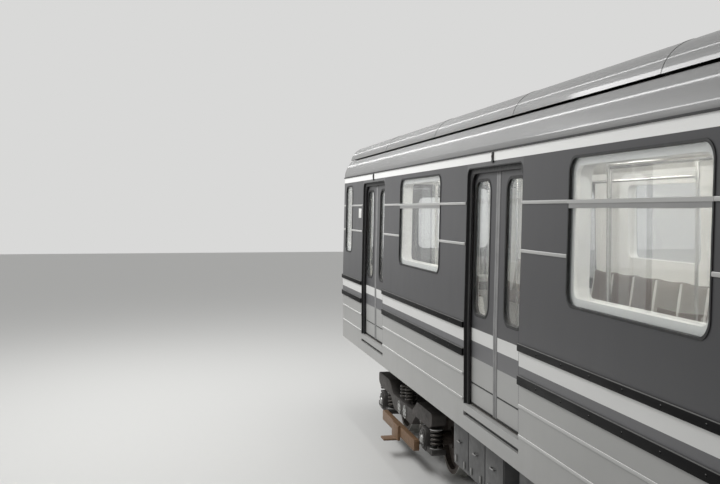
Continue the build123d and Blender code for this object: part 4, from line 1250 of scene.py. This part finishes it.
def make_camera():
    """The camera beside the middle of the car, at head height above its floor, looking along it."""
    data = bpy.data.cameras.new("photo_view")
    data.lens = CAMERA_LENS
    data.sensor_width = 36.0
    data.clip_end = 200.0
    camera = linked("photo_view", data)
    camera.location = CAMERA_PLACE
    yaw = math.radians(CAMERA_YAW)
    pitch = math.radians(CAMERA_PITCH)
    look = Vector((-math.cos(yaw) * math.cos(pitch), math.sin(yaw) * math.cos(pitch), math.sin(pitch)))
    camera.rotation_euler = look.to_track_quat("-Z", "Y").to_euler()
    bpy.context.scene.camera = camera


def colour_property(name, description, hex_colour):
    """A property that holds a colour."""
    return FloatVectorProperty(name=name, description=description, subtype="COLOR", size=3,
                               default=linear(hex_colour)[:3])


def length_property(name, description, default):
    """A property that holds a length."""
    return FloatProperty(name=name, description=description, unit="LENGTH", default=default, min=0.001)


def power_property(name, description, default):
    """A property that holds a lamp's power."""
    return FloatProperty(name=name, description=description, unit="POWER", default=default, min=0.0)


class MetroPaint(bpy.types.PropertyGroup):
    """Colours of the car."""

    upper_colour: colour_property("Upper band", "Enamel above the waist", "#434345")
    lower_colour: colour_property("Lower panels", "Enamel below the stripes", "#a0a09e")
    stripe_colour: colour_property("White stripe", "Stripe under the waist rib", "#d4d4d2")
    dark_stripe_colour: colour_property("Dark stripe", "Stripe over the lower rib", "#5e5e60")
    cantrail_colour: colour_property("Cantrail band", "Band over the doors", "#f0f0ee")
    roof_colour: colour_property("Roof", "Enamel of roof and shroud", "#686867")
    lining_colour: colour_property("Seat shells", "Laminate of seat shells and plinths", "#dcdbd6")
    seat_colour: colour_property("Seats", "Vinyl of the cushions", "#4b3a30")


class MetroTrim(bpy.types.PropertyGroup):
    """Sizes of the trim."""

    screw_pitch: length_property("Screw pitch", "Distance between the screws of a rubbing strip", 0.42)
    gutter_height: length_property("Gutter height", "Height of the rain gutter's lip", 0.012)
    strap_width: length_property("Strap width", "Width of the straps over the shroud's joints", 0.044)
    plate_width: length_property("Plate width", "Width of the blank plates", 0.18)
    plate_height: length_property("Plate height", "Height of the blank plates", 0.122)
    seat_pitch: length_property("Seat pitch", "Width of one place on a bench", 0.5)


class MetroStudio(bpy.types.PropertyGroup):
    """Light of the studio."""

    floor_colour: colour_property("Floor", "Colour of the studio floor", "#c9c9c7")
    world_strength: FloatProperty(
        name="World light", description="Strength of the even light", default=0.58, min=0.0)
    near_power: power_property("Near lamp", "Power of the lamp on the camera's side", 640.0)
    row_power: power_property("Lamp row", "Power of the row that draws a line along the roof", 85.0)
    far_power: power_property("Far lamp", "Power of the lamp on the far side", 330.0)


class METRO_OT_finishes(bpy.types.Operator):
    """Make all finishes of the car"""

    bl_idname = "metro.finishes"
    bl_label = "Finishes"

    def execute(self, context):
        make_materials(context.scene.metro_paint)
        return {"FINISHED"}


class METRO_OT_skin(bpy.types.Operator):
    """Finish side walls, end walls, sills and cantrail"""

    bl_idname = "metro.skin"
    bl_label = "Skin"

    def execute(self, context):
        finish_skin()
        return {"FINISHED"}


class METRO_OT_ribs(bpy.types.Operator):
    """Finish rubbing strips and mouldings, and screw the strips on"""

    bl_idname = "metro.ribs"
    bl_label = "Ribs"

    def execute(self, context):
        # The two tall rubbing strips are black, the thin mouldings pale
        sort_shells("side_ribs", {"rib": 0.006, "moulding": 0.004},
                    lambda low, high: "rib" if high.z - low.z > 0.035 else "moulding")
        make_strip_screws(context.scene.metro_trim.screw_pitch)
        return {"FINISHED"}


class METRO_OT_gutter(bpy.types.Operator):
    """Make the rain gutter's lip"""

    bl_idname = "metro.gutter"
    bl_label = "Gutter"

    def execute(self, context):
        make_gutter(context.scene.metro_trim.gutter_height)
        return {"FINISHED"}


class METRO_OT_plates(bpy.types.Operator):
    """Make the blank plates on the end bays"""

    bl_idname = "metro.plates"
    bl_label = "Plates"

    def execute(self, context):
        trim = context.scene.metro_trim
        make_plates(trim.plate_width, trim.plate_height)
        return {"FINISHED"}


class METRO_OT_doorways(bpy.types.Operator):
    """Finish the seals round the doorways and the lamps over them"""

    bl_idname = "metro.doorways"
    bl_label = "Doorways"

    def execute(self, context):
        # Lamp housings are narrow; the rest of the node is a black rubber seal, whose black is also
        # painted shade for the recess over the leaves
        sort_shells("door_headers", {"rubber": 0.0, "lamp": 0.002},
                    lambda low, high: "lamp" if high.x - low.x < 0.06 else "rubber")
        make_doorway_shade_and_seals()
        make_lamp_lenses()
        return {"FINISHED"}


class METRO_OT_roof(bpy.types.Operator):
    """Finish roof and shroud"""

    bl_idname = "metro.roof"
    bl_label = "Roof"

    def execute(self, context):
        finish_roof(context.scene.metro_trim.strap_width)
        return {"FINISHED"}


class METRO_OT_glazing(bpy.types.Operator):
    """Finish panes and window frames"""

    bl_idname = "metro.glazing"
    bl_label = "Glazing"

    def execute(self, context):
        finish_glazing()
        return {"FINISHED"}


class METRO_OT_side_doors(bpy.types.Operator):
    """Finish the sliding leaves"""

    bl_idname = "metro.side_doors"
    bl_label = "Side doors"

    def execute(self, context):
        finish_leaves()
        return {"FINISHED"}


class METRO_OT_end_doors(bpy.types.Operator):
    """Finish the end doors"""

    bl_idname = "metro.end_doors"
    bl_label = "End doors"

    def execute(self, context):
        finish_end_doors()
        return {"FINISHED"}


class METRO_OT_interior(bpy.types.Operator):
    """Finish linings, ceiling, lights, floor and handrails"""

    bl_idname = "metro.interior"
    bl_label = "Interior"

    def execute(self, context):
        finish_inside()
        make_rail_sockets()
        return {"FINISHED"}


class METRO_OT_benches(bpy.types.Operator):
    """Make the benches and their cushions"""

    bl_idname = "metro.benches"
    bl_label = "Benches"

    def execute(self, context):
        make_benches(context.scene.metro_trim.seat_pitch)
        return {"FINISHED"}


class METRO_OT_underframe(bpy.types.Operator):
    """Finish the underframe with its cases and pipes"""

    bl_idname = "metro.underframe"
    bl_label = "Underframe"

    def execute(self, context):
        finish_underframe()
        make_case_fittings()
        make_pipes()
        return {"FINISHED"}


class METRO_OT_bogies(bpy.types.Operator):
    """Finish bogies and wheels"""

    bl_idname = "metro.bogies"
    bl_label = "Bogies"

    def execute(self, context):
        finish_bogies()
        make_bogie_fittings()
        return {"FINISHED"}


class METRO_OT_couplers(bpy.types.Operator):
    """Finish the couplers"""

    bl_idname = "metro.couplers"
    bl_label = "Couplers"

    def execute(self, context):
        finish_couplers()
        return {"FINISHED"}


class METRO_OT_stage(bpy.types.Operator):
    """Make the floor, the lamps, the world and the camera"""

    bl_idname = "metro.stage"
    bl_label = "Stage"

    def execute(self, context):
        studio = context.scene.metro_studio
        context.scene.view_settings.view_transform = "Standard"
        make_world(studio.world_strength)
        make_floor(with_alpha(studio.floor_colour))
        make_lamp("platform_lamp", (-9, -5.8, 7.8), (-8.5, -1.3, 1.9), (12, 2.5), studio.near_power)
        make_lamp("platform_row", (-4, -1.35, 5.6), (-4, -1.2, 3.3), (38, 0.08), studio.row_power)
        make_lamp("far_side_lamp", (0, 8, 6), (0, 1.3, 2), (20, 3), studio.far_power)
        make_camera()
        return {"FINISHED"}


class METRO_PT_panel(bpy.types.Panel):
    """Lists the sizes, the colours and the steps that finish the car"""

    bl_label = "Metro Car"
    bl_idname = "METRO_PT_panel"
    bl_space_type = "VIEW_3D"
    bl_region_type = "UI"
    bl_category = "Metro Car"

    def draw(self, context):
        for group in GROUPS:
            held = getattr(context.scene, group)
            for name in held.__annotations__:
                self.layout.prop(held, name)
        for operator in OPERATORS:
            self.layout.operator(operator.bl_idname)


GROUPS = {"metro_paint": MetroPaint, "metro_trim": MetroTrim, "metro_studio": MetroStudio}

OPERATORS = [
    METRO_OT_finishes,
    METRO_OT_skin,
    METRO_OT_ribs,
    METRO_OT_gutter,
    METRO_OT_plates,
    METRO_OT_doorways,
    METRO_OT_roof,
    METRO_OT_glazing,
    METRO_OT_side_doors,
    METRO_OT_end_doors,
    METRO_OT_interior,
    METRO_OT_benches,
    METRO_OT_underframe,
    METRO_OT_bogies,
    METRO_OT_couplers,
    METRO_OT_stage,
]


def register():
    for kind in (*GROUPS.values(), *OPERATORS, METRO_PT_panel):
        bpy.utils.register_class(kind)
    for name, kind in GROUPS.items():
        setattr(bpy.types.Scene, name, PointerProperty(type=kind))


def unregister():
    for name in GROUPS:
        delattr(bpy.types.Scene, name)
    for kind in (METRO_PT_panel, *reversed(OPERATORS), *GROUPS.values()):
        bpy.utils.unregister_class(kind)


def main():
    register()
    for operator in OPERATORS:
        getattr(bpy.ops.metro, operator.bl_idname.removeprefix("metro."))()


if __name__ == "__main__":
    main()
